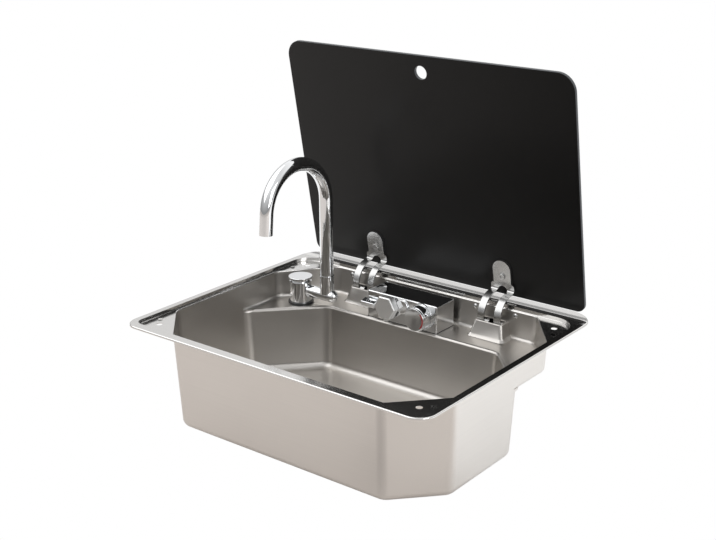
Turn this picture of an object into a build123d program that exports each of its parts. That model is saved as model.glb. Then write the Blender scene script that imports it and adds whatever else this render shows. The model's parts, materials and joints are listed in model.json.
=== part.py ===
from build123d import *

import os
from math import cos, radians, sin, sqrt, tan

# Built-in sink for a camper: pressed steel pan with a recessed rim, glass lid on two gooseneck hinges,
# fold-down swan-neck tap and a box mixer on the rear shelf, strainer waste below.
# Millimetres. Origin: middle of the four corner screw holes, on the ledge under the lid.
# X runs to the right along the hinge edge, Y to the back, Z up. Lid and spout are modelled open.

# ---------------------------------------------------------------- general
SHEET = 1.0                # steel of the pan
FIT = 0.05                 # radial running clearance of pins and spindles
GAP = 0.3                  # between pieces that lie close and do not touch
CUT = 1.0                  # overlap of a cutting tool beyond what it cuts
SEAL_OVERHANG = 1.5        # rubber beyond the bore that it closes

# ---------------------------------------------------------------- rim
SCREW_SPACING_X = 486.0
SCREW_SPACING_Y = 348.0
SCREW_HOLE_R = 4.8
RIM_WIDTH = 560.0
RIM_FRONT_Y = -216.0
RIM_BACK_Y = 244.0
RIM_CORNERS = (27.0, 44.0)  # front, back
RIM_THICKNESS = 3.0        # folded edge
RIM_LIP = 2.2
RIM_BEAD = 2.0             # rounding of the folded edge
RECESS_HALF = 268.5
RECESS_FRONT_Y = -201.0
RECESS_BACK_Y = 204.5
RECESS_STEP = 6.0          # rim top to ledge
RECESS_CORNERS = (14.0, 38.0)
STEP_ROUND = 0.8
GASKET_WIDTH = 8.0
GASKET_PROUD = 0.5         # rubber below the folded edge

# ---------------------------------------------------------------- bowl
WALL_HALF = 264.0          # walls where they leave the ledge
WALL_FRONT_Y = -192.5
WALL_BACK_Y = 201.5
LEDGE_FOLD = 1.8
DRAFT = 3.2                # slope of all the walls, degrees
FRONT_CUT_X = 70.0         # slanted front corners
FRONT_CUT_Y = 75.0
BACK_CUT_X = 66.0          # slanted back corners
BACK_CUT_Y = 84.0
WALL_CORNER = 22.0
SHELF_DEPTH = 46.0
SHELF_FOLD = 7.0
SHELF_EDGE_Y = 137.0       # front edge of the tap shelf
SHELF_EDGE_ROUND = 5.0
BOWL_DEPTH = 153.5
BOWL_ROUND = 12.0
BOWL_CUT_X = 96.5          # slanted rear corners of the deep bowl
BOWL_CUT_Y = 101.0
BOWL_CORNER = 25.0

# ---------------------------------------------------------------- hinge bosses of the pan
HINGE_MIDDLE_X = -3.0
HINGE_SPREAD = 250.0       # between the two hinges
BOSS_HALF = 25.0
BOSS_FRONT_Y = 179.0
BOSS_TOP_Z = -20.0
BOSS_TAPER = 15.0
BOSS_CORNER = 6.0
BOSS_EDGE = 2.0
SKIRT_HEIGHT = 5.0
SKIRT_TAPER = 42.0
SLOT_HALF = 22.0
SLOT_FRONT_Y = 181.0
SLOT_BACK_Y = 198.0
SLOT_CORNER = 2.5

# ---------------------------------------------------------------- lid and hinges
LID_WIDTH = 530.0
LID_DEPTH = 382.5
LID_THICKNESS = 5.0
LID_CORNERS = (28.0, 15.0)  # far from the hinges, at the hinges
LID_EDGE_ROUND = 0.8
LID_OPEN = 79.4            # degrees from closed
FINGER_HOLE_R = 11.0
FINGER_HOLE_TO_HINGE = 355.0
BUMPER_R = 3.5
BUMPER_HEIGHT = 1.0
BUMPER_X = 256.0
BUMPER_FRONT_Y = -160.0
BUMPER_BACK_Y = 150.0
PIVOT_Y = 217.0
PIVOT_Z = -15.0
PIVOT_TO_GLASS = 25.0      # pin to the hinge edge of the closed glass
PIN_R = 2.0
PIN_HEAD_R = 3.2
PIN_HEAD = 1.2
ARM_WIDTH = 42.0
ARM_SLOT = 18.0            # gap between the two legs of an arm
ARM_ARCH = 17.0            # hinge edge of the glass to the top of that gap
ARM_THICKNESS = 2.5
ARM_RADIUS = 35.0          # outside of the curved legs, about the pin
ARM_BEND = 4.0
ARM_ROOT = 294.4           # where the legs turn to the pin, lid closed, degrees
EYE_R = 3.5
TONGUE_WIDTH = 32.0
TONGUE_TIP = 61.7          # hinge edge of the glass to the tip of the tongue
TONGUE_BASE = 21.6         # hinge edge of the glass to the shoulders
SHOULDER_R = 4.5
PAD_THICKNESS = 2.0
CLAMP_TO_EDGE = 34.0
CLAMP_SCREW_R = 3.0
CLAMP_HEAD_R = 5.5
CLAMP_HEAD = 2.8
CLAMP_SOCKET_R = 2.3
CLAMP_SOCKET = 1.6
CLAMP_HOLE_R = 6.0
CLAMP_CAP_R = 11.0
CLAMP_CAP = 3.5
CLAMP_GRIP = 2.0           # screw inside the cap
WASHER_R = 4.5
WASHER_THICKNESS = 1.4
EAR_THICKNESS = 2.0
EAR_R = 5.0
BRACKET_THICKNESS = 2.0
BRACKET_HALF = 44.0
BRACKET_TOP_Z = -2.5
BRACKET_LOW_Z = -20.0
TROUGH_WALL = 1.5          # sealed trough under each slot
TROUGH_SIDE = 0.8
TROUGH_BELOW = 2.5
TROUGH_CORNER = 2.5
TROUGH_BACK_Y = 234.5
RIVET_OFFSET = 37.0
RIVET_Z = -8.0
RIVET_R = 2.0
RIVET_HEAD_R = 4.0
RIVET_HEAD = 1.6

# ---------------------------------------------------------------- fold-down tap
TAP_X = -217.0
TAP_Y = 125.5
TAP_RING_R = 21.5
TAP_RING = 3.0
TAP_BODY_R = 18.5
TAP_BODY_TOP = -8.0
TAP_CAVITY_R = 13.0
TAP_FLOOR = 5.0
TAP_CAP_R = 20.5
TAP_CAP = 4.0
TAP_CAP_TOP = 0.4
TAP_HUB_R = 15.0
STEM_R = 4.0
STEM = 3.6
CARTRIDGE_HEIGHT = 5.6
CARTRIDGE_R = 14.9
LINK_Z = -22.0
LINK_R = 10.0
LINK_SPINDLE_R = 6.0
LINK_SPINDLE = 14.0
LINK_CLIP_R = 8.0
LINK_CLIP = 1.2
LINK_BORE_R = 3.5
LINK_END_X = -148.0
SPOUT_X = -159.0
SOCKET_R = 12.0
SOCKET_LOW_Z = -18.0
SOCKET_TOP_Z = 11.0
SOCKET_BORE_R = 8.5
SOCKET_BORE_Z = -8.0
COLLAR_HEIGHT = 2.5
SPOUT_R = 11.0
SPOUT_WALL = 1.5
SPOUT_TAIL_R = 8.45
SPOUT_TAIL_WALL = 1.6
SPOUT_ARC_Z = 144.0
SPOUT_ARC_R = 72.0
SPOUT_SWEEP = 175.0
SPOUT_DROP = 31.0
AERATOR = 9.0
SEAL_HEIGHT = 2.0
SEAL_DEPTH = 0.9
TAP_SHANK_R = 10.0
TAP_SHANK_LENGTH = 52.0
TAP_SPIGOT_R = 9.0         # hose end of the shank
TAP_SPIGOT = 24.0
SHANK_WALL = 2.5
NUT_WIDTH = 30.0
NUT_HEIGHT = 9.0
WASHER_HEIGHT = 2.0
TAP_WASHER_R = 18.0

# ---------------------------------------------------------------- box mixer
BOX_LEFT_X = -86.0
BOX_RIGHT_X = 51.0
BOX_FRONT_Y = 141.0
BOX_BACK_Y = 191.5
BOX_TOP_Z = 0.0
BOX_SEAL = 1.0
BOX_WALL = 2.0
BOX_ROUND = 2.5
KNOB_X = 23.0
KNOB_Z = -21.5
KNOB_R = 20.0
KNOB_FRONT_Y = 119.0
KNOB_FACE_R = 19.0
KNOB_FACE = 4.0
KNOB_WALL = 3.0
KNOB_BOSS_R = 8.0
KNOB_ROUND = 1.0
ESCUTCHEON_R = 22.0
ESCUTCHEON = 3.0
MIXER_CARTRIDGE_R = 14.0
INDEX_INNER_R = 15.5
INDEX_OUTER_R = 17.5
INDEX_REACH = 45.0         # degrees to each side
INDEX_HEIGHT = 0.4
GRUB_R = 1.5
HEAD_X = -40.5
HEAD_Z = -18.0
HEAD_WIDTH = 36.0          # across the flats
HEAD_FRONT_Y = 125.0
HEAD_BACK_Y = 137.3
HEAD_NECK_R = 13.0
HEAD_CHAMFER = 1.5
HEAD_STUB_R = 8.0
HEAD_WAY_R = 4.0
NOZZLE_Y = 131.5
NOZZLE_R = 5.0
NOZZLE_LOW_Z = -40.5
NOZZLE_AERATOR = 5.0
AERATOR_WALL = 1.2
BAR_LEFT_X = -88.0
BAR_Y = 131.5
BAR_DEPTH = 14.0
BAR_HEIGHT = 9.5
BAR_LEAN = 13.0            # degrees to the front
BAR_ROUND = 1.8
GRIP_COUNT = 3
GRIP_PITCH = 4.0
GRIP_DEPTH = 0.5
GRIP_WIDTH = 1.2
GRIP_SLANT = 30.0
BAR_SPINDLE_R = 4.0
VALVE_R = 4.8
VALVE_WAY_R = 3.0
VALVE_LEFT_X = -56.0
VALVE_RIGHT_X = -35.0
PLUG_X = -15.0
PLUG_Z = -14.0
PLUG_R = 11.5
PLUG_PROUD = 3.2
PLUG_STEM_R = 6.0
PLUG_ROUND = 1.2
MANIFOLD_SIDE = 12.0       # housing to manifold, left and right
MANIFOLD_FRONT_Y = 150.0
MANIFOLD_BACK_Y = 186.0
MANIFOLD_TOP_Z = -5.0
POCKET_DEPTH = 15.0
GALLERY_R = 4.5
SHANK_Y = 170.0
SHANK_SPACING = 80.0
MIXER_SHANK_R = 8.0
MIXER_SHANK_GRIP = 5.0
MIXER_SHANK_LENGTH = 45.0
MIXER_SPIGOT_R = 7.0
MIXER_SPIGOT = 22.0
MIXER_WASHER_R = 14.0
MIXER_NUT_WIDTH = 24.0

# ---------------------------------------------------------------- waste
WASTE_Y = -31.0
WASTE_HOLE_R = 30.0
PRESSING_R = 44.0
PRESSING_DEPTH = 3.0
FLANGE_R = 42.0
FLANGE = 1.8
SLEEVE_R = 29.0
SLEEVE_WALL = 1.5
SLEEVE_DEPTH = 17.0
CROSS = 2.0
CROSS_HUB_R = 7.0
CROSS_RIB = 5.0
WASTE_SEAL_R = 33.0
WASTE_SEAL = 1.0
WASTE_LOWER_SEAL = 2.0
CUP_FLANGE = 3.0
CUP_R = 34.0
CUP_WALL = 2.5
CUP_DEPTH = 40.0
CUP_BOSS_TOP = 16.0        # below the top of the cup
TAIL_R = 14.0
TAIL_WALL = 2.0
TAIL_DROP = 25.0
TAIL_LENGTH = 100.0
TAIL_GRIP = 30.0           # for the hose, in front of the collar
TAIL_COLLAR_R = 16.5
TAIL_COLLAR = 3.0
WASTE_SCREW_R = 3.0
WASTE_SCREW_HEAD_R = 5.5
WASTE_SCREW_HEAD = 2.5
WASTE_SCREW_LENGTH = 24.0
BASKET_R = 26.0
BASKET_RIM_R = 33.0
BASKET_SHEET = 1.0
BASKET_DEPTH = 11.0
BASKET_HOLE_R = 2.0
BASKET_RING_R = 17.0
BASKET_HOLES = 12
KNOB_STEM_R = 2.5
STRAINER_KNOB_R = 7.0
STRAINER_KNOB = 4.0
STRAINER_KNOB_LIFT = 3.0   # knob above the basket rim


# ---------------------------------------------------------------- helpers
def block(x0, x1, y0, y1, z0, z1):
    size = (x1 - x0, y1 - y0, z1 - z0)
    return Pos((x0 + x1) / 2, (y0 + y1) / 2, (z0 + z1) / 2) * Box(*size)


def rod(radius, start, end):
    start = Vector(*start)
    run = Vector(*end) - start
    return extrude(Plane(origin=start, z_dir=run.normalized()) * Circle(radius), run.length)


def tube(outer, inner, start, end):
    start = Vector(*start)
    run = Vector(*end) - start
    profile = Plane(origin=start, z_dir=run.normalized()) * (Circle(outer) - Circle(inner))
    return extrude(profile, run.length)


def upright(radius, x, y, z0, z1):
    return rod(radius, (x, y, z0), (x, y, z1))


def upright_tube(outer, inner, x, y, z0, z1):
    return tube(outer, inner, (x, y, z0), (x, y, z1))


def along_y(radius, x, z, y0, y1):
    return rod(radius, (x, y0, z), (x, y1, z))


def nut(width, bore, x, y, z0, z1):
    hexagon = RegularPolygon(width / 2, 6, major_radius=False)
    if bore > 0:
        hexagon = hexagon - Circle(bore)
    return Pos(x, y, z0) * extrude(hexagon, z1 - z0)


def plate(half, y0, y1, corners, z0, z1):
    """Flat block; corners holds the radii of its front and its back corners."""
    middle = (y0 + y1) / 2
    outline = Pos(0, middle) * Rectangle(2 * half, y1 - y0)
    outline = fillet(outline.vertices().filter_by(lambda v: v.Y < middle), corners[0])
    outline = fillet(outline.vertices().filter_by(lambda v: v.Y > middle), corners[1])
    return Pos(0, 0, z0) * extrude(outline, z1 - z0)


def grown(corners, by):
    return [radius + by for radius in corners]


def nearest(shape, x, y):
    return min(shape.vertices(), key=lambda v: (v.X - x) ** 2 + (v.Y - y) ** 2)


def save(shape, name):
    export_step(shape, "parts/" + name + ".step")


# ---------------------------------------------------------------- derived positions
DRAFT_TAN = tan(radians(DRAFT))
DRAFT_COS = cos(radians(DRAFT))
SHELF_Z = -SHELF_DEPTH
SHELF_UNDER = SHELF_Z - SHEET
FLOOR_Z = -BOWL_DEPTH
HINGES = (HINGE_MIDDLE_X - HINGE_SPREAD / 2, HINGE_MIDDLE_X + HINGE_SPREAD / 2)
HINGE_EDGE_Y = PIVOT_Y - PIVOT_TO_GLASS
GLASS_LOW = BUMPER_HEIGHT
GLASS_TOP = GLASS_LOW + LID_THICKNESS
LID_AXIS = Axis((0, PIVOT_Y, PIVOT_Z), (1, 0, 0))


def wall_back_y(z, out=0.0):
    return WALL_BACK_Y + z * DRAFT_TAN + out / DRAFT_COS


def opened(shape):
    return shape.rotate(LID_AXIS, -LID_OPEN)


# ---------------------------------------------------------------- pan
def well(points, depth, out, corners):
    """Drafted cavity under the ledge; corners holds one radius for each corner of the outline."""
    outline = make_face(Polyline(*points, close=True))
    if out > 0:
        outline = offset(outline, out / DRAFT_COS, kind=Kind.INTERSECTION)
    body = mirror(extrude(outline, depth + out, taper=DRAFT), about=Plane.XY)
    for (x, y), radius in zip(points, corners):
        slanted = [e for e in body.edges() if abs(e.tangent_at(0.5).Z) > 0.5]
        edge = min(slanted, key=lambda e: (e.center().X - x) ** 2 + (e.center().Y - y) ** 2)
        body = fillet(edge, radius + out)
    return body


def upper_points():
    half, front, back = WALL_HALF, WALL_FRONT_Y, WALL_BACK_Y
    right = [
        (half - FRONT_CUT_X, front),
        (half, front + FRONT_CUT_Y),
        (half, back - BACK_CUT_Y),
        (half - BACK_CUT_X, back),
    ]
    return right + [(-x, y) for x, y in reversed(right)]


def deep_points():
    rise = SHELF_DEPTH * DRAFT_TAN
    back = SHELF_EDGE_Y + rise
    half, front = WALL_HALF, WALL_FRONT_Y
    right = [
        (half - FRONT_CUT_X, front),
        (half, front + FRONT_CUT_Y),
        (half, back - BOWL_CUT_Y),
        (half - BOWL_CUT_X, back),
    ]
    return right + [(-x, y) for x, y in reversed(right)]


def floor_edges(body, z):
    return [e for e in body.edges() if abs(e.center().Z - z) < 0.01]


def boss(x, out):
    """Raised seat of one hinge, from well below the shelf up to its top."""
    half = BOSS_HALF - out
    top = BOSS_TOP_Z - out
    front = BOSS_FRONT_Y + out
    low = SHELF_Z - SHELF_FOLD
    height = top - low
    spread = height * tan(radians(BOSS_TAPER))
    behind = WALL_BACK_Y + 2 * SHELF_FOLD
    base = Pos(x, 0, low) * make_face(Polyline(
        (-half - spread, behind + spread),
        (-half - spread, front - spread),
        (half + spread, front - spread),
        (half + spread, behind + spread),
        close=True,
    ))
    body = extrude(base, height, taper=BOSS_TAPER)
    slanted = [
        e for e in body.edges()
        if abs(e.tangent_at(0.5).Z) > 0.5 and e.center().Y < SLOT_BACK_Y
    ]
    body = fillet(slanted, BOSS_CORNER - out)
    rim = [e for e in body.edges() if abs(e.center().Z - top) < 0.01 and e.center().Y < behind - CUT]
    body = fillet(rim, BOSS_EDGE - out / 2)
    return body + skirt(x, out)


def skirt(x, out):
    """Flared foot of the seat."""
    level = SHELF_Z - out
    rise = (BOSS_TOP_Z - SHELF_Z - SKIRT_HEIGHT) * tan(radians(BOSS_TAPER))
    flare = SKIRT_HEIGHT * tan(radians(SKIRT_TAPER))
    half = BOSS_HALF - out + rise + flare
    front = BOSS_FRONT_Y + out - rise - flare
    behind = WALL_BACK_Y + 2 * SHELF_FOLD
    outline = Pos(x, (front + behind) / 2, 0) * Rectangle(2 * half, behind - front)
    corners = outline.vertices().filter_by(lambda v: v.Y < SLOT_BACK_Y)
    outline = fillet(corners, BOSS_CORNER + flare)
    foot = extrude(Pos(0, 0, level) * outline, SKIRT_HEIGHT, taper=SKIRT_TAPER)
    under = extrude(Pos(0, 0, level - CUT) * outline, CUT)
    return foot + under


def cavity(out):
    """Space inside the pan, grown by the sheet for its outer skin."""
    recess = plate(
        RECESS_HALF + out, RECESS_FRONT_Y - out, RECESS_BACK_Y + out,
        grown(RECESS_CORNERS, out), -out, RECESS_STEP + CUT,
    )
    recess = fillet(floor_edges(recess, -out), STEP_ROUND + out)
    walls = [WALL_CORNER] * 8
    upper = well(upper_points(), SHELF_DEPTH, out, walls)
    upper = fillet(floor_edges(upper, SHELF_Z - out), SHELF_FOLD + out)
    deep_corners = [WALL_CORNER] * 2 + [BOWL_CORNER] * 4 + [WALL_CORNER] * 2
    deep = well(deep_points(), BOWL_DEPTH, out, deep_corners)
    flare = shelf_edge(deep, out)
    deep = fillet(floor_edges(deep, FLOOR_Z - out), BOWL_ROUND + out)
    space = upper + deep
    space = space + flare
    fold = [
        e for e in (recess + space).edges()
        if abs(e.center().Z + out) < 0.01 and abs(e.center().X) < WALL_HALF + out + 0.2
        and WALL_FRONT_Y - out - 0.2 < e.center().Y < WALL_BACK_Y + out + 0.2
    ]
    space = fillet(fold, LEDGE_FOLD - out)
    press_z = FLOOR_Z - PRESSING_DEPTH - out
    space = space + upright(PRESSING_R + out, 0, WASTE_Y, press_z, FLOOR_Z)
    for x in HINGES:
        space = space - boss(x, out)
    return space


def shelf_edge(deep, out):
    """Deep bowl together with the rounding where the shelf runs into it."""
    radius = SHELF_EDGE_ROUND - out
    level = SHELF_Z - out
    low = level - 2 * SHELF_EDGE_ROUND
    whole = block(-RIM_WIDTH, RIM_WIDTH, 2 * RIM_FRONT_Y, 2 * RIM_BACK_Y, low, level)
    sheet = whole - deep
    lip = [
        e for e in floor_edges(sheet, level)
        if abs(e.center().X) < RIM_WIDTH / 2 and 2 * RIM_FRONT_Y + CUT < e.center().Y < RIM_BACK_Y
    ]
    inner = whole - fillet(lip, radius)
    limit = well(upper_points(), SHELF_DEPTH + 4 * SHELF_EDGE_ROUND, out, [WALL_CORNER] * 8)
    flare = inner & limit
    if out > 0:
        for face in [f for f in flare.faces() if abs(f.center().Z - level) < 0.01]:
            # sheet over the corners where the rounding runs under the fold of the side walls
            flare = flare + extrude(face, 3 * out, dir=(0, 0, 1))
    return flare


def cut_slots(shell):
    for x in HINGES:
        middle = (SLOT_FRONT_Y + SLOT_BACK_Y) / 2
        outline = RectangleRounded(2 * SLOT_HALF, SLOT_BACK_Y - SLOT_FRONT_Y, SLOT_CORNER)
        shell = shell - Pos(x, middle, BOSS_TOP_Z - 2 * SHEET) * extrude(outline, 3 * SHEET)
        for side in (-RIVET_OFFSET, RIVET_OFFSET):
            shell = shell - rivet_line(x + side, RIVET_R + FIT, 2 * BRACKET_THICKNESS, 2 * BRACKET_THICKNESS)
    return shell


def rivet_line(x, radius, before, behind):
    """Rod square to the drafted back wall, measured from its inside."""
    y = wall_back_y(RIVET_Z)
    across = (0, DRAFT_COS, -DRAFT_COS * DRAFT_TAN)
    start = (x, y - before * across[1], RIVET_Z - before * across[2])
    end = (x, y + behind * across[1], RIVET_Z + behind * across[2])
    return rod(radius, start, end)


def pan():
    under = RECESS_STEP - RIM_THICKNESS
    rim = plate(RIM_WIDTH / 2, RIM_FRONT_Y, RIM_BACK_Y, RIM_CORNERS, under, RECESS_STEP)
    rim = fillet(floor_edges(rim, RECESS_STEP), RIM_BEAD)
    groove = plate(
        RIM_WIDTH / 2 - RIM_LIP, RIM_FRONT_Y + RIM_LIP, RIM_BACK_Y - RIM_LIP,
        grown(RIM_CORNERS, -RIM_LIP), under - CUT, RECESS_STEP - SHEET,
    )
    outer = cavity(SHEET)
    top = block(-RIM_WIDTH, RIM_WIDTH, 2 * RIM_FRONT_Y, 2 * RIM_BACK_Y, RECESS_STEP, RECESS_STEP + 2 * CUT)
    shell = (rim - groove) + (outer - top)
    shell = shell - cavity(0.0)
    for x in (-SCREW_SPACING_X / 2, SCREW_SPACING_X / 2):
        for y in (-SCREW_SPACING_Y / 2, SCREW_SPACING_Y / 2):
            shell = shell - upright(SCREW_HOLE_R, x, y, -2 * SHEET, SHEET)
    shell = cut_slots(shell)
    shell = shell - upright(TAP_SHANK_R + 2 * GAP, TAP_X, TAP_Y, SHELF_Z - 2 * SHEET, SHELF_Z + SHEET)
    for x in SHANK_X:
        shell = shell - upright(MIXER_SHANK_R + 2 * GAP, x, SHANK_Y, SHELF_Z - 2 * SHEET, SHELF_Z + SHEET)
    drain = FLOOR_Z - PRESSING_DEPTH
    shell = shell - upright(WASTE_HOLE_R, 0, WASTE_Y, drain - 2 * SHEET, drain + SHEET)
    return shell


# ---------------------------------------------------------------- rim gasket and bumpers
def rim_gasket():
    low = RECESS_STEP - RIM_THICKNESS - GASKET_PROUD
    high = RECESS_STEP - SHEET
    set_in = RIM_LIP + GAP
    outer = plate(
        RIM_WIDTH / 2 - set_in, RIM_FRONT_Y + set_in, RIM_BACK_Y - set_in,
        grown(RIM_CORNERS, -set_in), low, high,
    )
    set_in = set_in + GASKET_WIDTH
    inner = plate(
        RIM_WIDTH / 2 - set_in, RIM_FRONT_Y + set_in, RIM_BACK_Y - set_in,
        grown(RIM_CORNERS, -set_in), low - CUT, high + CUT,
    )
    return outer - inner


def bumpers():
    pads = [
        upright(BUMPER_R, side * BUMPER_X, y, 0, BUMPER_HEIGHT)
        for side in (-1, 1) for y in (BUMPER_FRONT_Y, BUMPER_BACK_Y)
    ]
    return Compound(children=pads)


# ---------------------------------------------------------------- hinges
def bracket(x):
    """Plate behind the back wall with two ears for the pin."""
    y_top = wall_back_y(BRACKET_TOP_Z, SHEET)
    y_low = wall_back_y(BRACKET_LOW_Z, SHEET)
    thick = BRACKET_THICKNESS / DRAFT_COS
    profile = make_face(Polyline(
        (y_top, BRACKET_TOP_Z), (y_top + thick, BRACKET_TOP_Z),
        (y_low + thick, BRACKET_LOW_Z), (y_low, BRACKET_LOW_Z), close=True,
    ))
    body = Pos(x - BRACKET_HALF, 0, 0) * extrude(Plane.YZ * profile, 2 * BRACKET_HALF)
    ear = make_hull([
        (Pos(PIVOT_Y, PIVOT_Z) * Circle(EAR_R)).edges()[0],
        Line((y_low + thick / 2, BRACKET_LOW_Z), (y_top + thick / 2, BRACKET_TOP_Z)),
    ])
    for side in (-1, 1):
        first = side * (ARM_WIDTH / 2 + WASHER_THICKNESS + 2 * FIT)
        start = x + min(first, first + side * EAR_THICKNESS)
        body = body + Pos(start, 0, 0) * extrude(Plane.YZ * ear, EAR_THICKNESS)
    ends = (x - BRACKET_HALF, PIVOT_Y, PIVOT_Z), (x + BRACKET_HALF, PIVOT_Y, PIVOT_Z)
    body = body - rod(PIN_R + FIT / 2, *ends)
    for side in (-RIVET_OFFSET, RIVET_OFFSET):
        body = body - rivet_line(x + side, RIVET_R + FIT, 2 * BRACKET_THICKNESS, 4 * BRACKET_THICKNESS)
    return body


def ear_outer():
    return ARM_WIDTH / 2 + WASHER_THICKNESS + 2 * FIT + EAR_THICKNESS


def hinge_troughs():
    """Troughs that close the slots from below, round the legs and ears of the hinges."""
    low = PIVOT_Z - ARM_RADIUS - TROUGH_BELOW
    top = -SHEET - GAP
    mouth = BOSS_TOP_Z - SHEET - BOSS_EDGE
    front = BOSS_FRONT_Y + SHEET + GAP
    behind = wall_back_y(BRACKET_TOP_Z, SHEET) + BRACKET_THICKNESS / DRAFT_COS + GAP
    slim = ARM_WIDTH / 2 + TROUGH_SIDE
    wide = ear_outer() + PIN_HEAD + TROUGH_SIDE
    wall = TROUGH_WALL
    plate_low = BRACKET_LOW_Z - GAP
    troughs = []
    for x in HINGES:
        shell = block(x - slim - wall, x + slim + wall, front, behind + wall, low - wall, mouth)
        shell = fillet(front_corners(shell, front), BOSS_CORNER - SHEET)
        shell = shell + block(x - wide - wall, x + wide + wall, behind, TROUGH_BACK_Y, low - wall, top)
        space = block(x - slim, x + slim, front + wall, behind + wall + CUT, low, BRACKET_LOW_Z)
        space = fillet(front_corners(space, front + wall), TROUGH_CORNER)
        space = space + block(x - wide, x + wide, behind + wall, TROUGH_BACK_Y - wall, low, top + CUT)
        space = space + block(x - wide, x + wide, behind - CUT, behind + wall + CUT, plate_low, top + CUT)
        troughs.append(shell - space)
    return Compound(children=troughs)


def front_corners(body, y):
    return [e for e in body.edges() if abs(e.tangent_at(0.5).Z) > 0.5 and abs(e.center().Y - y) < 0.01]


def hinge_pins():
    pins = []
    for x in HINGES:
        reach = ear_outer() + FIT
        pin = rod(PIN_R, (x - reach, PIVOT_Y, PIVOT_Z), (x + reach, PIVOT_Y, PIVOT_Z))
        for side in (-1, 1):
            start = (x + side * reach, PIVOT_Y, PIVOT_Z)
            end = (x + side * (reach + PIN_HEAD), PIVOT_Y, PIVOT_Z)
            pin = pin + rod(PIN_HEAD_R, start, end)
        pins.append(pin)
    return Compound(children=pins)


def hinge_rivets():
    rivets = []
    y = wall_back_y(RIVET_Z)
    across = Vector(0, DRAFT_COS, -DRAFT_COS * DRAFT_TAN)
    stack = SHEET + BRACKET_THICKNESS
    ball = (RIVET_HEAD_R ** 2 + RIVET_HEAD ** 2) / (2 * RIVET_HEAD)
    for hinge in HINGES:
        for side in (-RIVET_OFFSET, RIVET_OFFSET):
            rivet = rivet_line(hinge + side, RIVET_R, CUT / 2, stack + CUT / 2)
            inside = Vector(hinge + side, y, RIVET_Z)
            for foot, out in ((inside, -1), (inside + across * stack, 1)):
                centre = foot - across * (out * (ball - RIVET_HEAD))
                dome = Pos(*centre) * Sphere(ball)
                tip = foot + across * (out * 2 * RIVET_HEAD)
                rivet = rivet + (dome & rod(2 * RIVET_HEAD_R, foot, tip))
            rivets.append(rivet)
    return Compound(children=rivets)


def friction_washers():
    washers = []
    for x in HINGES:
        for side in (-1, 1):
            start = x + side * (ARM_WIDTH / 2 + FIT)
            end = start + side * WASHER_THICKNESS
            washers.append(tube(WASHER_R, PIN_R + FIT, (start, PIVOT_Y, PIVOT_Z), (end, PIVOT_Y, PIVOT_Z)))
    return Compound(children=washers)


def arm_profile():
    """Section of the bent strap across the hinge line, lid closed, as (Y, Z)."""
    top = GLASS_LOW - PAD_THICKNESS
    low = top - ARM_THICKNESS
    inner = ARM_RADIUS - ARM_THICKNESS
    meet = PIVOT_Y - sqrt(inner ** 2 - (top - PIVOT_Z) ** 2)
    bend = PIVOT_Y - sqrt(ARM_RADIUS ** 2 - (low - PIVOT_Z) ** 2)
    tip = HINGE_EDGE_Y - TONGUE_TIP
    pin = Pos(PIVOT_Y, PIVOT_Z)
    far = 3 * ARM_RADIUS
    fan = [(PIVOT_Y, PIVOT_Z)]
    for step in range(5):
        angle = radians(150.0 + (ARM_ROOT - 150.0) * step / 4)
        fan.append((PIVOT_Y + far * cos(angle), PIVOT_Z + far * sin(angle)))
    ring = pin * Circle(ARM_RADIUS) & make_face(Polyline(*fan, close=True))
    ring = ring & Pos(PIVOT_Y, top - far) * Rectangle(2 * far, 2 * far)
    tongue = Pos((tip + meet) / 2, (top + low) / 2) * Rectangle(meet - tip, ARM_THICKNESS)
    strap = (ring + tongue) - pin * Circle(inner)
    root = radians(ARM_ROOT)
    out = (cos(root), sin(root))
    side = (sin(root), -cos(root))
    length = inner + ARM_THICKNESS / 2
    leg = make_face(Polyline(
        (PIVOT_Y, PIVOT_Z),
        (PIVOT_Y + length * out[0], PIVOT_Z + length * out[1]),
        (
            PIVOT_Y + length * out[0] + ARM_THICKNESS * side[0],
            PIVOT_Z + length * out[1] + ARM_THICKNESS * side[1],
        ),
        (PIVOT_Y + ARM_THICKNESS * side[0], PIVOT_Z + ARM_THICKNESS * side[1]),
        close=True,
    ))
    strap = strap + leg
    strap = fillet(nearest(strap, meet, top), ARM_BEND + ARM_THICKNESS)
    strap = fillet(nearest(strap, bend, low), ARM_BEND)
    root_y = PIVOT_Y + ARM_RADIUS * out[0]
    root_z = PIVOT_Z + ARM_RADIUS * out[1]
    strap = fillet(nearest(strap, root_y, root_z), ARM_BEND)
    nook_y = PIVOT_Y + inner * out[0] + ARM_THICKNESS * side[0]
    nook_z = PIVOT_Z + inner * out[1] + ARM_THICKNESS * side[1]
    strap = fillet(nearest(strap, nook_y, nook_z), ARM_BEND - ARM_THICKNESS)
    return strap + pin * Circle(EYE_R) - pin * Circle(PIN_R + FIT)


def tongue_outline(y_tip, y_base):
    """Plan of the tongue with its round tip and shoulders."""
    radius = TONGUE_WIDTH / 2
    shoulder = HINGE_EDGE_Y - TONGUE_BASE
    slim = Pos(0, (y_tip + radius + y_base) / 2) * Rectangle(TONGUE_WIDTH, y_base - y_tip - radius)
    slim = slim + Pos(0, y_tip + radius) * Circle(radius)
    if y_base <= shoulder:
        return slim
    wide = Pos(0, (shoulder + y_base) / 2) * Rectangle(ARM_WIDTH, y_base - shoulder)
    wide = fillet(wide.vertices().filter_by(lambda v: v.Y < shoulder + CUT), SHOULDER_R)
    return slim + wide


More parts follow.
